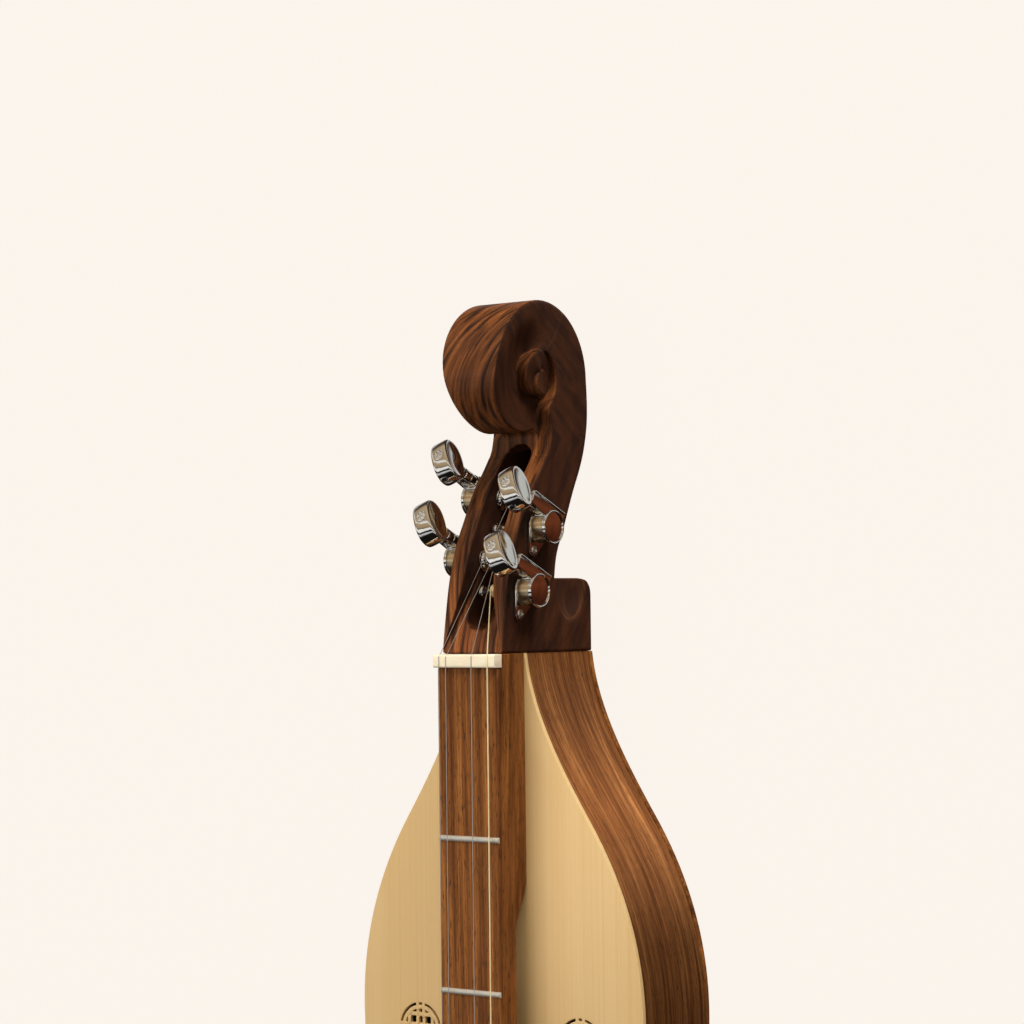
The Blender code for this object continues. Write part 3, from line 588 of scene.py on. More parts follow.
# The head: its left and right faces are given painted shade.
DARK_WALNUT = hardwood(
    "scroll_look",
    ((0.36, (0.022, 0.010, 0.007)), (0.46, (0.074, 0.026, 0.010)),
     (0.58, (0.150, 0.050, 0.016)), (0.76, (0.235, 0.086, 0.027))),
    scroll_grain, (2.6, 90.0, 14.0), (0.45, 0.45), 0.42, 0.06, painted_side_shade=(0.027, 0.0115, 0.008))
SPRUCE = spruce()
BLOCK_WOOD = plain_wood("block_look", (0.42, 0.27, 0.13), (0.60, 0.42, 0.23))
BONE = bone()
NICKEL = metal("nickel_look", (0.66, 0.65, 0.60), 0.30, (4.0, 0.15, 0.15), 0.003, 0.6)
CHROME = metal("chrome_look", (0.86, 0.86, 0.87), 0.045)
# Painted reflection: the barrel is chrome, and this tan colour stands in for the brown wood that it reflects.
REFLECTION_TINTED_CHROME = metal("barrel_painted_reflection_look", (0.74, 0.58, 0.38), 0.27)
SCREW = metal("screw_look", (0.78, 0.77, 0.75), 0.12, metallic=0.8)
STEEL = metal("string_look", (0.52, 0.51, 0.50), 0.28, (0.1, 6.0, 0.1), metallic=0.7)
WOUND = wound()


# ---- camera, floor and light

CAMERA_AT_M = Vector((0.7348, 0.3308, 1.0398))
AZIMUTH, DIP, ROLL = math.radians(36.33), math.radians(-2.11), math.radians(-0.69)
SENSOR = 36.0
LENS = 91.828125
CREAM = (0.955, 0.896, 0.831)
FLOOR_REACH, FLOOR_Z = 9000.0, -0.4
LIT_M = (0.0, 0.35, 0.05)   # the place on the head that the two upper lights face


def set_camera():
    """Above the fretboard, to its right, looking down across the upper bout at the head."""
    ahead = -Vector((math.sin(AZIMUTH) * math.cos(DIP), math.sin(DIP), math.cos(AZIMUTH) * math.cos(DIP)))
    right = ahead.cross(Vector((0, 1, 0))).normalized()
    up = right.cross(ahead)
    across = right * math.cos(ROLL) + up * math.sin(ROLL)
    upward = up * math.cos(ROLL) - right * math.sin(ROLL)
    data = bpy.data.cameras.new("camera")
    data.sensor_width = SENSOR
    data.lens = LENS
    data.clip_start = 0.02
    data.clip_end = 50.0
    camera = linked("camera", data)
    turn = Matrix((across, upward, -ahead)).transposed()
    camera.matrix_world = Matrix.Translation(CAMERA_AT_M) @ turn.to_4x4()
    bpy.context.scene.camera = camera


def set_floor():
    """A pale floor that glows, so that no shadow shows on it. Only the camera sees it, and only from above."""
    r, z = FLOOR_REACH, FLOOR_Z
    floor = linked("floor", mesh_of("floor", [(-r, -r, z), (r, -r, z), (r, r, z), (-r, r, z)], [(0, 1, 2, 3)]))
    look = Look("floor_look", Base_Color=(0.01, 0.01, 0.01), Roughness=1.0, Specular_IOR_Level=0.0,
                Emission_Color=CREAM, Emission_Strength=1.0)
    clear = look.add("ShaderNodeBsdfTransparent").outputs[0]
    seen = look.add("ShaderNodeLightPath").outputs["Is Camera Ray"]
    below = look.add("ShaderNodeNewGeometry").outputs["Backfacing"]
    above = look.math("SUBTRACT", seen, below, clamp=True)
    mix = look.add("ShaderNodeMixShader", {0: above, 1: clear, 2: look.shader.outputs[0]})
    look.tree.links.new(mix.outputs[0], look.tree.nodes["Material Output"].inputs["Surface"])
    floor.data.materials.append(look.material)


def set_world():
    """The room that the metal reflects: pale past the scroll, dark past the tail, tan above the instrument and
    reddish brown below it. The camera sees plain cream instead."""
    world = bpy.data.worlds.new("room")
    bpy.context.scene.world = world
    world.use_nodes = True
    world.node_tree.nodes.clear()
    room = Graph(world.node_tree)
    where = room.add("ShaderNodeTexCoord").outputs["Generated"]
    _, along, up = room.add("ShaderNodeSeparateXYZ", {0: where}).outputs
    uneven = room.add("ShaderNodeTexNoise", {"Vector": where, "Scale": 3.5}).outputs["Fac"]
    shift = room.between(room.math("ADD", room.math("MULTIPLY", uneven, 0.16), along), -1.0, 1.0)
    below = room.ramp(shift, (
        (0.35, (0.010, 0.008, 0.006)), (0.50, (0.05, 0.012, 0.005)), (0.55, (0.14, 0.036, 0.013)),
        (0.64, (0.06, 0.020, 0.010)), (0.70, (0.52, 0.52, 0.48)), (0.775, (0.50, 0.50, 0.46)),
        (0.80, (0.07, 0.045, 0.03)), (1.0, (0.05, 0.035, 0.025))))
    above = room.ramp(shift, (
        (0.28, (0.008, 0.006, 0.005)), (0.36, (0.60, 0.60, 0.58)), (0.39, (0.60, 0.60, 0.58)),
        (0.41, (0.010, 0.008, 0.006)), (0.48, (0.020, 0.014, 0.010)), (0.51, (0.85, 0.83, 0.78)),
        (0.58, (0.85, 0.82, 0.74)), (0.605, (0.12, 0.08, 0.05)), (0.64, (0.33, 0.235, 0.13)),
        (0.74, (0.42, 0.31, 0.18)), (0.76, (0.80, 0.78, 0.72)), (0.785, (0.80, 0.78, 0.72)),
        (0.81, (0.36, 0.26, 0.15)), (1.0, (0.48, 0.36, 0.22))))
    colour = room.blend(room.between(up, -0.12, 0.12), below, above)
    walls = room.add("ShaderNodeBackground", {0: colour}).outputs[0]
    plain = room.add("ShaderNodeBackground", {0: CREAM}).outputs[0]
    seen = room.add("ShaderNodeLightPath").outputs["Is Camera Ray"]
    mix = room.add("ShaderNodeMixShader", {0: seen, 1: walls, 2: plain}).outputs[0]
    room.add("ShaderNodeOutputWorld", {0: mix})


def set_light(name, place_m, target_m, size_m, watts):
    """A soft light that shows neither to the camera nor in the metal."""
    data = bpy.data.lights.new(name, "AREA")
    data.shape = "RECTANGLE"
    data.size, data.size_y = size_m
    data.energy = watts
    data.color = (1.0, 0.96, 0.90)
    light = linked(name, data)
    light.location = place_m
    light.visible_camera = light.visible_glossy = False
    light.rotation_mode = "QUATERNION"
    light.rotation_quaternion = (Vector(target_m) - Vector(place_m)).to_track_quat("-Z", "Y")


def set_lights():
    set_light("overhead", (-0.25, 1.75, 1.25), LIT_M, (1.2, 0.6), 16.0)
    set_light("front", (-0.45, 0.25, 1.6), LIT_M, (0.9, 1.3), 11.5)
    set_light("side", (0.85, 2.0, 0.12), (0.0, 0.3, 0.03), (0.9, 0.7), 48.0)


# ---- body

# station, half width, and how fast the half width grows towards the tail
BODY_KNOTS = (
    (HEAD_JOINT, HALF_WIDE, 0.10),
    (-72.0, 53.0, 0.66),
    (-162.0, 81.1, 0.0),
    (-345.0, 50.0, 0.0),
    (-565.0, 95.0, 0.0),
    (-690.0, 66.0, -0.50),
    (TAIL, 24.0, -0.30),
)
RIB_THICK = 2.4
EDGE_OUT = 0.7              # how far the plates stand out past the ribs
ROSETTES = ((46.5, -172.7), (-46.5, -172.7), (52.0, -575.0), (-52.0, -575.0))
ROSETTE_R = 12.7
ROSETTE_DEEP = 2.2
ROSETTE_RING_R = 10.3
WEAVE = 3.4                 # how often a band passes over or under another
BAND_HALF = 0.92
BANDS = (1.75, 6.8)


def half_width(station):
    for (s0, w0, g0), (s1, w1, g1) in zip(BODY_KNOTS, BODY_KNOTS[1:]):
        if station >= s1 or s1 == TAIL:
            span = s0 - s1
            t = (s0 - station) / span
            return ((2 * t**3 - 3 * t**2 + 1) * w0 + (t**3 - 2 * t**2 + t) * span * g0
                    + (-2 * t**3 + 3 * t**2) * w1 + (t**3 - t**2) * span * g1)
    return BODY_KNOTS[-1][1]


def side_curve(inset=0.0, steps=170):
    """The body's right side as X, Y, moved in by a thickness measured square to the curve."""
    out = []
    for i in range(steps + 1):
        station = HEAD_JOINT + (TAIL - HEAD_JOINT) * i / steps
        slope = (half_width(station - 0.01) - half_width(station + 0.01)) / 0.02
        out.append((half_width(station) - inset * math.hypot(1.0, slope), NUT_Y + station))
    return out


def give_grain(mesh, side):
    """Stores where each point lies in the flat board, before it was bent."""
    line = side_curve()
    ys = [y for _, y in line][::-1]
    runs = [0.0]
    for (x0, y0), (x1, y1) in zip(line, line[1:]):
        runs.append(runs[-1] + math.hypot(x1 - x0, y1 - y0))
    runs = runs[::-1]
    half = [x for x, _ in line][::-1]
    grain = mesh.attributes.new("grain", "FLOAT_VECTOR", "POINT")
    for i, vertex in enumerate(mesh.vertices):
        x, y, z = vertex.co / MM
        run = float(np.interp(y, ys, runs))
        through = abs(x) - float(np.interp(y, ys, half))
        grain.data[i].vector = (through + 0.035 * run + 0.9 * z, run, z * side + 31.0 * side)


def outline_of_body(inset=0.0):
    side = side_curve(inset)
    return side + [(-x, y) for x, y in reversed(side)]


def rosette_mesh(name, x0, station):
    """Four bands each way that pass over and under each other, joined at their ends by a ring."""
    step, deep = 0.3, ROSETTE_DEEP
    reach = ROSETTE_R + 1.2
    x, y, z = grid((-reach, -reach, -deep - 0.9), (reach, reach, 0.9), step)
    radius = np.hypot(x, y)
    rim = np.abs(radius - ROSETTE_R - 0.1) - 0.42
    solid = both(rim, np.abs(z + deep / 2) - deep / 2)
    ring = np.abs(radius - ROSETTE_RING_R) - BAND_HALF
    solid = either(solid, both(ring, np.abs(z + deep / 2) - deep / 2, 0.3))
    for at, way in [(a * s, way) for a in BANDS for s in (-1, 1) for way in (0, 1)]:
        across, along = (x, y) if way == 0 else (y, x)
        end = ROSETTE_R if abs(at) == BANDS[0] else ROSETTE_RING_R
        crossing = np.round((along + 20) / WEAVE) % 2 == (0 if (at > 0) ^ (way == 0) else 1)
        sunk = np.where(crossing & (radius < 9.0), 0.35, 0.0)
        bar = both(np.abs(across - at) - BAND_HALF, radius - end)
        solid = either(solid, both(bar, both(z + sunk, -(z + deep)), 0.3))
    low = (x0 - reach, NUT_Y + station - reach, BODY_Z - 0.02 - deep - 0.9)
    return relaxed(skin(name, solid, low, step), 1, 0.4)


def build_body():
    back = slab("back_panel", outline_of_body(), "Z", 0.0, BACK_Z, 0.5)
    piece("back_panel", back, WALNUT, ("back",))
    top = slab("soundboard_panel", outline_of_body(), "Z", TOP_LOW.z, BODY_Z, 0.4)
    hole = ((TOP_LOW.z - 2, ROSETTE_R + 0.1), (BODY_Z + 2, ROSETTE_R + 0.1))
    holes = [turned("hole", hole, 72, (x, NUT_Y + station, 0), "Z") for x, station in ROSETTES]
    piece("soundboard_panel", boolean(top, holes), SPRUCE, ("soundboard",))
    for number, (x, station) in enumerate(ROSETTES, 1):
        name = f"rosette_{number}"
        piece(name, rosette_mesh(name, x, station), SPRUCE, sharp=None)
    outer, inner = side_curve(EDGE_OUT), side_curve(EDGE_OUT + RIB_THICK)
    for side, name in ((1, "rib_right"), (-1, "rib_left")):
        strip = [(side * x, y) for x, y in outer + inner[::-1]]
        rib = slab(name + "_side", strip, "Z", BACK_Z + 0.02, TOP_LOW.z - 0.02)
        give_grain(rib, side)
        piece(name + "_side", rib, RIB_WALNUT, (name,))


# ---- fretboard, frets, nut and bridge

ARCH_FIRST = -98.0
ARCH_LONG = 105.0
ARCH_FOOT = 23.0
ARCHES = 4
ARCH_HIGH = 8.6
ARCH_RAMP = 24.0
STRUM = (-590.0, -700.0)
STRUM_DEEP = 10.0
STRUM_RAMP = 14.0
BEHIND_BRIDGE_DROP = 5.5
NUT_SEAT = 3.0
BRIDGE_SEAT = 3.5
FRET_END = ((0.1, 0.35), (0.6, 0.85), (1.2, 1.0))       # how far in from the end, and how much of the height
STRINGS = (("melody_outer", -14.2, 0.16, 3), ("melody_inner", -10.2, 0.16, 2),
           ("middle", 4.6, 0.19, 1), ("bass", 14.0, 0.33, 0))


def fretboard_outline():
    top, base = FACE_Z, BODY_Z + 0.05
    points = [(HEAD_JOINT, base), (HEAD_JOINT, top - NUT_SEAT), (0.0, top - NUT_SEAT), (0.0, top)]
    start, stop = STRUM
    steps = [i / 12 for i in range(13)]
    points += [(start - STRUM_RAMP * t, top - STRUM_DEEP * float(eased(t))) for t in steps]
    points += [(stop + STRUM_RAMP * (1 - t), top - STRUM_DEEP * float(1 - eased(t))) for t in steps]
    seat = (BRIDGE_HIGH.y - BRIDGE_LOW.y) / 2 + 0.05
    points += [(BRIDGE_AT + seat, top), (BRIDGE_AT + seat, top - BRIDGE_SEAT),
               (BRIDGE_AT - seat, top - BRIDGE_SEAT), (BRIDGE_AT - seat, top)]
    points += [(TAIL + 3, top - BEHIND_BRIDGE_DROP), (TAIL, top - BEHIND_BRIDGE_DROP - 1.5), (TAIL, base)]
    for arch in reversed(range(ARCHES)):
        near = ARCH_FIRST - arch * (ARCH_LONG + ARCH_FOOT)
        far = near - ARCH_LONG
        rise = [(ARCH_RAMP * t, base + ARCH_HIGH * float(eased(t))) for t in steps]
        points += [(far + along, z) for along, z in rise] + [(near - along, z) for along, z in reversed(rise)]
    return [(NUT_Y + s, z) for s, z in points]


def build_fretboard():
    board = slab("arched_fretboard", fretboard_outline(), "X", -HALF_WIDE, HALF_WIDE, 0.55, 3, 25)
    piece("arched_fretboard", board, WALNUT, ("fretboard",))


def build_frets():
    """Rounded crowns whose ends are filed at a slant."""
    for node in FRETS:
        low, high = box_mm(node)
        at = (low.y + high.y) / 2
        half = (high.y - low.y) / 2
        tall = high.z - FACE_Z
        ends = [(-HALF_WIDE + inset, scale) for inset, scale in FRET_END]
        rings = []
        for x, scale in ends + [(-x, scale) for x, scale in ends[::-1]]:
            ring = []
            for i in range(13):
                a = math.pi * i / 12
                ring.append((x, at + half * math.cos(a), FACE_Z + tall * scale * math.sin(a) ** 0.8))
            ring += [(x, at - half, FACE_Z - 0.3), (x, at + half, FACE_Z - 0.3)]
            rings.append(ring)
        piece(node + "_wire", loft(node + "_wire", rings), NICKEL, (node,), sharp=50)


def grooved(mesh, play, low, high, top):
    """The mesh with a groove cut in its top for each string."""
    cuts = []
    for _, x, radius, _ in STRINGS:
        cut = turned("groove", ((low, radius + play), (high, radius + play)), 12, axis="Z")
        base = Matrix.Translation(Vector((x, 0, top + radius * 0.5)) * MM)
        cut.transform(base @ Matrix.Rotation(-math.pi / 2, 4, "X"))
        cuts.append(cut)
    return boolean(mesh, cuts)


def build_nut():
    top, low = NUT_HIGH.z, FACE_Z - NUT_SEAT + 0.05
    front, rear = NUT_Y + 0.05, NUT_Y + HEAD_JOINT - 0.05
    rear_r, front_r = 1.2, 0.8
    profile = [(front, low), (rear, low), (rear, top - 1.3)]
    profile += arc((rear - rear_r, top - rear_r), rear_r, 0, 90, 5)[1:]
    profile += [(front + front_r, top)] + arc((front + front_r, top - front_r), front_r, 90, 180, 4)
    mesh = slab("bone_nut", profile, "X", -HALF_WIDE - 0.35, HALF_WIDE + 0.35, 0.7, 3, 40)
    mesh = grooved(mesh, 0.12, NUT_Y - 3, NUT_Y + 12, top + 0.05)
    piece("bone_nut", mesh, BONE, ("nut",), sharp=30)


def build_bridge():
    top, low = BRIDGE_HIGH.z, FACE_Z - BRIDGE_SEAT + 0.05
    at, half = NUT_Y + BRIDGE_AT, (BRIDGE_HIGH.y - BRIDGE_LOW.y) / 2
    rise = [(at + half, low), (at + half, top - 1.8), (at + 0.9, top - 0.35), (at + 0.4, top)]
    profile = [(at - half, low)] + rise + [(2 * at - y, z) for y, z in rise[:0:-1]]
    mesh = slab("bone_bridge", profile, "X", -HALF_WIDE, HALF_WIDE, 0.3, 2, 20)
    mesh = grooved(mesh, 0.1, at - 6, at + 6, top + 0.1)
    piece("bone_bridge", mesh, BONE, ("bridge",), sharp=30)


# ---- head

EYE = (138.3, 39.6)
EYE_R = 10.4
BUTTON_EYE = (133.9, 36.6)
BUTTON_EYE_R = 6.1
DRUM = (137.2, 37.6)
DRUM_R = 35.8
DRUM_SHRINK = 10.5          # how much the drum's radius loses as it winds inward
DISH_RAMP, DISH_DEEP, DISH_WIDE = 7.1, 6.9, 21.0  # how far the carving round the eye goes in
RIBBON_DEEP, RIBBON_FRONT = 6.6, 3.8  # how far the band in the eye goes in
BUTTON_SINK, BOWL_DEEP = 0.2, 3.0  # how far the eye's button goes in, above and below
CLIFF = ((100.0, 35.3), (107.8, 32.2), (114.0, 31.5), (119.0, 33.4), (122.4, 33.4), (127.9, 29.6),
         (132.5, 27.9), (137.1, 27.7), (141.3, 28.5), (145.1, 30.6), (148.2, 34.4),
         (149.4, 38.5), (149.0, 42.1))
PAST_DRUM = [(156.0, 29.0), (190.0, 8.0), (190.0, 92.0), (100.0, 92.0)]
SCOOP_AT = (42.5, 17.4)     # the hollow in the heel's side is an ellipsoid
SCOOP_HALF = (4.6, 21.1, 12.5)
POST_BORE_R = 4.45
SLOT_HALF = 8.0
SLOT_ENDS = (17.0, 105.5)
SLOT_FLOOR = ((10.0, 55.0), (17.0, 54.0), (32.0, 42.0), (50.0, 35.0), (80.0, 21.5), (97.0, 16.0),
              (110.0, 12.0))
RAMP_HALF = ((0.0, 17.2), (8.0, 16.7), (16.0, 14.6), (24.0, 12.0), (34.0, 9.6), (44.0, 8.2), (60.0, 7.6))
RAMP_END = 52.0
RAMP_FLOOR = ((0.0, 73.7), (7.0, 73.0), (12.0, 71.2), (24.0, 65.8), (40.0, 57.6), (60.0, 47.0))


def drum_radius(angle):
    inward = max(0.0, angle - 92.0) / 90.0
    return DRUM_R - DRUM_SHRINK * inward ** 1.35


def head_outline():
    """Side view, station and height: heel, back, round the drum, throat, pegbox front."""
    joint = HEAD_JOINT + 0.05
    heel = [(joint, 0.2), (20.0, 0.2), (34.0, 0.2), *arc((34.0, 7.7), 7.5, -75, 0, 6)]
    heel += [(41.5, 18.0), (41.5, 29.9)]
    back = flowing([(41.6, 30.1), (50.0, 28.0), (60.0, 24.2), (69.1, 20.1), (76.9, 16.6), (84.6, 12.9),
                    (92.5, 8.7), (100.3, 5.3), (108.1, 3.0), (116.0, 1.5), (124.0, 1.1), (131.0, 1.3)], 4)
    drum = [(DRUM[0] + drum_radius(a) * math.cos(math.radians(a)),
             DRUM[1] + drum_radius(a) * math.sin(math.radians(a))) for a in range(-84, 186, 3)]
    throat = flowing([(111.2, 37.0), (110.6, 34.6), (108.8, 33.2), (104.6, 33.4), (100.6, 35.3), (92.8, 40.9),
                      (85.5, 46.9), (77.0, 52.2), (69.3, 56.2), (59.6, 61.5), (50.0, 65.2), (38.1, 68.7),
                      (22.0, 71.6), (joint, 73.9)], 5)
    return heel + back + drum + throat


def winding(s, z, centre):
    """Degrees round a centre, from the top (the scroll's end) round by the front."""
    return np.degrees(np.arctan2(z - centre[1], s - centre[0])) % 360.0


def eased(t):
    t = np.clip(t, 0, 1)
    return t * t * (3 - 2 * t)


def dish_depth(s, z):
    """How far the drum's side lies below the pegbox's side: a ramp round the eye, and a dish beside it."""
    round_eye = winding(s, z, EYE)
    signed = np.where(round_eye > 270.0, round_eye - 360.0, round_eye)
    ramp = DISH_RAMP * eased((signed - 40.0) / 115.0) ** 1.4
    out = np.clip((np.hypot(s - EYE[0], z - EYE[1]) - EYE_R) / DISH_WIDE, 0, 1)
    near = DISH_DEEP * eased((signed + 26.0) / 62.0)
    depth = ramp + np.clip(near - ramp, 0, None) * (1 - eased(out)) ** 1.2
    return np.where(signed < -26.0, 0.0, depth)


def ribbon_depth(s, z):
    """The band inside the eye's edge: deepest under the eye, rising behind it, sinking again over its front."""
    wound_by = (winding(s, z, EYE) - 192.0) % 360.0
    rise = RIBBON_DEEP * np.clip(1 - wound_by / 205.0, 0, 1) ** 1.35
    return rise + RIBBON_FRONT * np.clip((wound_by - 180.0) / 170.0, 0, 1) ** 1.3


def head_field(x, s, z):
    """The whole head, over an open grid of places."""
    s2, z2 = s[0], z[0]
    side_s, side_z = np.broadcast_arrays(s2, z2)
    beside = np.abs(x) - HALF_WIDE
    solid = both(polygon_field(side_s, side_z, head_outline())[None], beside, 1.5)
    cliff = flowing(CLIFF, 5)
    # the carved hollow runs from the cliff out past the drum
    hollow = polygon_field(side_s, side_z, cliff[:-8] + PAST_DRUM)
    dish = both(hollow[None], -(beside + dish_depth(s2, z2)[None]))
    solid = without(solid, dish, 0.9)
    back_half = [p for p in cliff if p[0] > 126.0]
    eye = polygon_field(side_s, side_z, back_half + arc(EYE, EYE_R, 16, 200, 30))[None]
    level = beside + ribbon_depth(s2, z2)[None]
    solid = without(solid, both(eye, -level), 0.5)
    solid = either(solid, both(eye, level - 0.3, 0.9))
    button_r = np.hypot(s2 - BUTTON_EYE[0], z2 - BUTTON_EYE[1])
    bowl = BUTTON_SINK + BOWL_DEEP * np.clip((BUTTON_EYE[1] + 2.0 - z2) / (BUTTON_EYE_R + 2.0), 0, 1) ** 1.2
    button = both((button_r - BUTTON_EYE_R)[None], beside + bowl[None], 0.8)
    solid = without(either(solid, button, 0.5), slot_field(x, s, z), 1.0)
    solid = without(solid, ramp_field(x, s, z), 0.7)
    for side in (1, -1):
        scoop = np.sqrt(((x - side * (HALF_WIDE + 0.3)) / SCOOP_HALF[0]) ** 2
                        + ((s - SCOOP_AT[0]) / SCOOP_HALF[1]) ** 2
                        + ((z - SCOOP_AT[1]) / SCOOP_HALF[2]) ** 2) - 1
        solid = without(solid, scoop * 4.5, 0.6)
    for tuner in TUNERS:
        side, station, height = post_place(tuner)
        bore = np.hypot(s - station, z - height) - POST_BORE_R
        wall = both(-(side * x - SLOT_HALF + 2.0), side * x - HALF_WIDE - 2.0)
        solid = without(solid, both(bore, wall), 0.3)
    return solid


def slot_field(x, s, z):
    """The round-ended string slot, down to its sloping floor."""
    low, high = SLOT_ENDS
    nearest = np.clip(s, low + SLOT_HALF, high - SLOT_HALF)
    wall = np.hypot(x, s - nearest) - SLOT_HALF
    floor = np.interp(s, *zip(*SLOT_FLOOR))
    return both(wall, floor - z)


def ramp_field(x, s, z):
    """The way down for the strings from the nut: wide and shallow, then narrow and deep."""
    wall = np.abs(x) - np.interp(s, *zip(*RAMP_HALF))
    floor = np.interp(s, *zip(*RAMP_FLOOR))
    return both(both(wall, (floor - z) * 0.9), s - RAMP_END)


def build_head():
    step, margin = 0.45, 1.2
    low, high = box_mm("head")
    low = Vector((-HALF_WIDE - margin, low.y - NUT_Y - margin, -margin))
    high = Vector((HALF_WIDE + margin, high.y - NUT_Y + margin, high.z + margin))
    field = head_field(*grid(low, high, step))
    mesh = relaxed(skin("carved_head", field, (low.x, NUT_Y + low.y, low.z), step), 2)
    piece("carved_head", mesh, DARK_WALNUT, ("head",), sharp=None)


# ---- tuners
# A tuner's own frame: X out from the side of the head, Y up the pegbox, Z along the worm to the button.

WORM_X, WORM_Y = 5.0, 6.0
KEY_REST = 27.0             # how far each key stands turned, in degrees
BUTTON_AT = 29.1
BUTTON_THICK, BUTTON_WIDE, BUTTON_LONG = 8.8, 22.0, 15.4
BUTTON_HOLLOW = 0.8         # how deep its flats are dished
BEAD_X, BEAD_R = 9.55, 0.5  # the beads that run round the cap and along its arm
HARD_EDGE = 32


def screw_head(name, centre, radius, axis):
    """A dome with a cross cut in it."""
    profile = ((-0.6, radius), (0.0, radius), (0.35, radius * 0.93), (0.62, radius * 0.72),
               (0.76, radius * 0.4), (0.8, 0.02))
    head = turned(name, profile, 28, centre, axis)
    long_, thin = radius * 0.66, radius * 0.2
    c = Vector(centre)
    if axis == "X":
        spans, offset = ((1.2, long_, thin), (1.2, thin, long_)), Vector((1.25, 0, 0))
    else:
        spans, offset = ((long_, thin, 1.2), (thin, long_, 1.2)), Vector((0, 0, 1.25))
    cuts = [block("cross", c + offset - Vector(span), c + offset + Vector(span)) for span in spans]
    return boolean(head, cuts)


def housing_parts():
    """Base plate with its ear, the worm's case and neck, the cap with its arm; and the barrel over the gear."""
    ear = arc((-11.6, 0), 3.2, 120, 240, 10)
    base = slab("base", arc((0, 0), 7.9, -112, 112, 34) + ear, "X", 0.05, 1.5, 0.3, 2, 50)
    case = slab("case", ((2.0, -7.4), (9.0, -7.4), (9.0, 8.0), (2.0, 8.0)), "X", 1.2, 8.5, 0.8, 3, 50)
    neck = turned("neck", ((7.6, 3.5), (8.6, 3.5), (8.9, 3.2), (12.6, 3.2), (12.8, 2.9), (13.2, 2.9),
                           (13.4, 3.2), (16.9, 3.2), (17.3, 2.9), (17.4, 1.9)), 36, (WORM_X, WORM_Y, 0), "Z")
    plate = [(9.8, -6.4), (9.8, 20.4), (9.0, 21.0), (4.0, 21.0), (3.2, 20.2)] + arc((0, 0), 8.1, 72, 318, 40)
    cap = slab("cap", plate, "X", 8.3, 9.5, 0.3, 3, 50)
    edge = [(9.35, -5.6), (9.35, 19.6), (8.7, 20.5), (4.2, 20.5)]
    ring = arc((0, 0), 7.55, 0, 352.5, 47)
    beads = [wire(name, [(BEAD_X, y, z) for y, z in line], BEAD_R, closed)
             for name, line, closed in (("arm_bead", edge, False), ("ring_bead", ring, True))]
    barrel = turned("barrel", ((1.4, 7.5), (1.7, 7.3), (8.0, 7.3), (8.4, 7.6)), 48)
    return merged("plates", [base, case, neck, cap, *beads]), barrel


def button_mesh():
    """Oval and flat-sided, with a soft rim, a collar, and a recess for the screw at its end."""
    half = BUTTON_THICK / 2
    bulge = 2 / 2.25            # below 1, its oval is a little squarer than an ellipse
    rings = []
    flat = [(half - BUTTON_HOLLOW * (1 - (1 - i / 6) ** 2), 0.95 + i) for i in range(6, 0, -1)]
    edge = [(half, 0.85), (half - 0.12, 0.5), (half - 0.5, 0.18), (half - 1.3, 0.0)]
    whole = flat + edge
    for x, inset in [(-x, inset) for x, inset in whole] + [(0.0, -0.12)] + whole[::-1]:
        ring = []
        for i in range(72):
            a = 2 * math.pi * i / 72
            c, s = math.cos(a), math.sin(a)
            u, v = (abs(w) ** bulge * math.copysign(1, w) for w in (c, s))
            ring.append((WORM_X + x, WORM_Y + (BUTTON_WIDE / 2 - inset) * u,
                         BUTTON_AT + (BUTTON_LONG / 2 - inset) * v))
        rings.append(ring)
    button = loft("button", rings)
    end = BUTTON_AT + BUTTON_LONG / 2
    collar = turned("collar", ((17.9, 2.2), (18.1, 3.2), (19.4, 3.2), (19.7, 2.7), (20.6, 2.7), (23.4, 3.4)),
                    36, (WORM_X, WORM_Y, 0), "Z")
    button = boolean(button, [collar], "UNION")
    recess = turned("recess", ((end - 0.7, 3.0), (end + 3, 3.0)), 36, (WORM_X, WORM_Y, 0), "Z")
    return boolean(button, [recess])


def tuner_frame(side, station, height):
    """From a tuner's own frame to the frame of the model, in metres."""
    place = Matrix.Translation(spot(side * HALF_WIDE, station, height) * MM)
    return place @ Matrix.Rotation(-TILT, 4, "X") @ Matrix.Diagonal((side, 1, 1, 1))


def key_turned(side):
    """Turns a key about its shaft, to the same side on all four tuners."""
    shaft = Matrix.Translation(Vector((WORM_X, WORM_Y, 0)) * MM)
    return shaft @ Matrix.Rotation(math.radians(side * KEY_REST), 4, "Z") @ shaft.inverted()


def placed(mesh, matrix):
    made = mesh.copy()
    made.transform(matrix)
    if matrix.determinant() < 0:
        made.flip_normals()
    return made


def post_mesh():
    """The string post: a spool between two shoulders, with the string's hole through it."""
    wall = HALF_WIDE - SLOT_HALF
    far = -(HALF_WIDE + SLOT_HALF) + 0.95
    profile = ((6.7, 3.0), (-wall - 2.2, 3.0), (-wall - 2.6, 2.75), (-wall - 3.0, 2.55), (far + 2.4, 2.55),
               (far + 2.0, 2.8), (far + 1.6, 3.0), (far + 0.3, 3.0), (far, 2.7), (far, 0.02))
    post = turned("post", profile, 40)
    middle = (-wall - 2.6 + far + 2.4) / 2
    return boolean(post, [slab("hole", arc((middle, 0), 0.8, 0, 345, 20), "Z", -5, 5)])


def ferrule_mesh():
    """The flanged sleeve that shows inside the slot, with two turned steps."""
    wall = HALF_WIDE - SLOT_HALF
    profile = ((-0.4, 4.3), (-wall + 0.2, 4.3), (-wall - 0.1, 5.7), (-wall - 0.5, 5.7), (-wall - 0.8, 5.4),
               (-wall - 1.0, 4.9), (-wall - 1.5, 4.7), (-wall - 1.9, 4.3), (-wall - 2.0, 3.15), (-0.4, 3.15))
    return turned("ferrule", (*profile, profile[0]), 44, closed_ends=False)


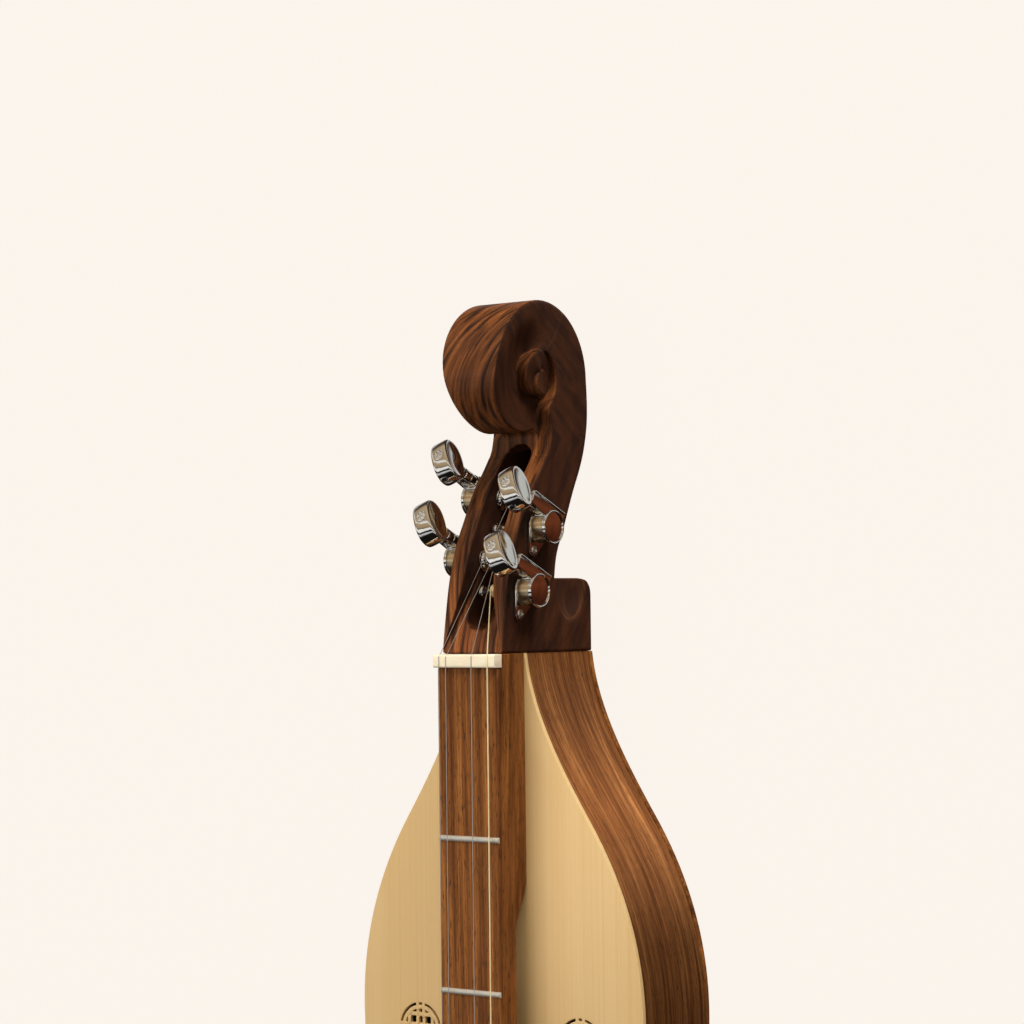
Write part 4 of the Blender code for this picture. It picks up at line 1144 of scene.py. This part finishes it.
def build_tuners():
    plates, barrel = housing_parts()
    screw_at = (WORM_X, WORM_Y, BUTTON_AT + BUTTON_LONG / 2 - 0.45)
    shapes = (
        ("plates", plates, CHROME, "", "housing"),
        ("barrel", barrel, REFLECTION_TINTED_CHROME, "", ""),
        ("ear_screw", screw_head("ear_screw", (1.5, -11.6, 0), 2.1, "X"), SCREW, "", ""),
        ("ferrule", ferrule_mesh(), CHROME, "", "bushing"),
        ("key", button_mesh(), CHROME, "_key", "button"),
        ("key_screw", screw_head("key_screw", screw_at, 2.3, "Z"), SCREW, "_key", ""),
        ("string_post", post_mesh(), CHROME, "_roller", ""),
    )
    for tuner in TUNERS:
        side, station, height = post_place(tuner)
        matrix = tuner_frame(side, station, height)
        for label, mesh, look, ending, node in shapes:
            shape = placed(mesh, matrix @ key_turned(side) if ending == "_key" else matrix)
            piece(f"{tuner}_{label}_piece", shape, look, (f"{tuner}_{node}",) if node else (),
                  tuner + ending if ending else BODY, HARD_EDGE)


# ---- strings

SPOOL_R = 2.55
TURNS = 5
TURN_POINTS = 20
WIND_X = (0.4, 0.0, 2.5, -0.5)


def string_route(x, radius, tuner):
    """Tail pin, over the tail, bridge and nut, down to the post and round it."""
    _, post, height = post_place(TUNERS[tuner])
    lift = radius + 0.02
    nut_top = NUT_HIGH.z + 0.05 + radius * 0.5
    bridge_top = BRIDGE_HIGH.z + 0.1 + radius * 0.5
    tail_top = FACE_Z - BEHIND_BRIDGE_DROP + lift
    route = [spot(x, station, z) for station, z in (
        (TAIL - 0.9, 52.0), (TAIL - 0.9, tail_top - 3.2), (TAIL - 0.6, tail_top - 1.2), (TAIL + 0.6, tail_top),
        (BRIDGE_AT - 0.6, bridge_top), (BRIDGE_AT + 0.6, bridge_top), (0.4, nut_top),
        (HEAD_JOINT - 1.6, nut_top))]
    leave = Vector((HEAD_JOINT - 1.6, nut_top))
    start = Vector((leave.x - post, leave.y - height))
    around = SPOOL_R + lift
    turn = math.atan2(start.y, start.x) - math.acos(around / start.length)
    pitch = 2 * radius + 0.05
    for i in range(TURNS * TURN_POINTS + 1):
        at = turn - 2 * math.pi * i / TURN_POINTS
        route.append(spot(WIND_X[tuner] + pitch * i / TURN_POINTS, post + around * math.cos(at),
                          height + around * math.sin(at)))
    return route


def build_strings():
    for name, x, radius, tuner in STRINGS:
        node = "string_" + name
        look, slot = (WOUND, "wound_bronze") if name == "bass" else (STEEL, "string_steel")
        mesh = wire(node + "_wire", string_route(x, radius, tuner), radius)
        piece(node + "_wire", mesh, look, (node,), sharp=None)


# ---- CAD nodes that stay as they are

def dress_nodes():
    """Better materials for the nodes that still show."""
    looks = {"block_wood": BLOCK_WOOD, "nickel": NICKEL, "chrome": CHROME}
    slots = {row["node"]: row["material_slot"] for row in frame["record"]["subparts"]}
    for name, obj in frame["nodes"].items():
        if not obj.hide_render:
            obj.data.materials.clear()
            obj.data.materials.append(looks[slots[name]])
            smooth_shade(obj.data)


set_camera()
set_floor()
set_world()
set_lights()
bpy.context.scene.view_settings.view_transform = "Standard"
build_body()
build_fretboard()
build_frets()
build_nut()
build_bridge()
build_head()
build_tuners()
build_strings()
dress_nodes()
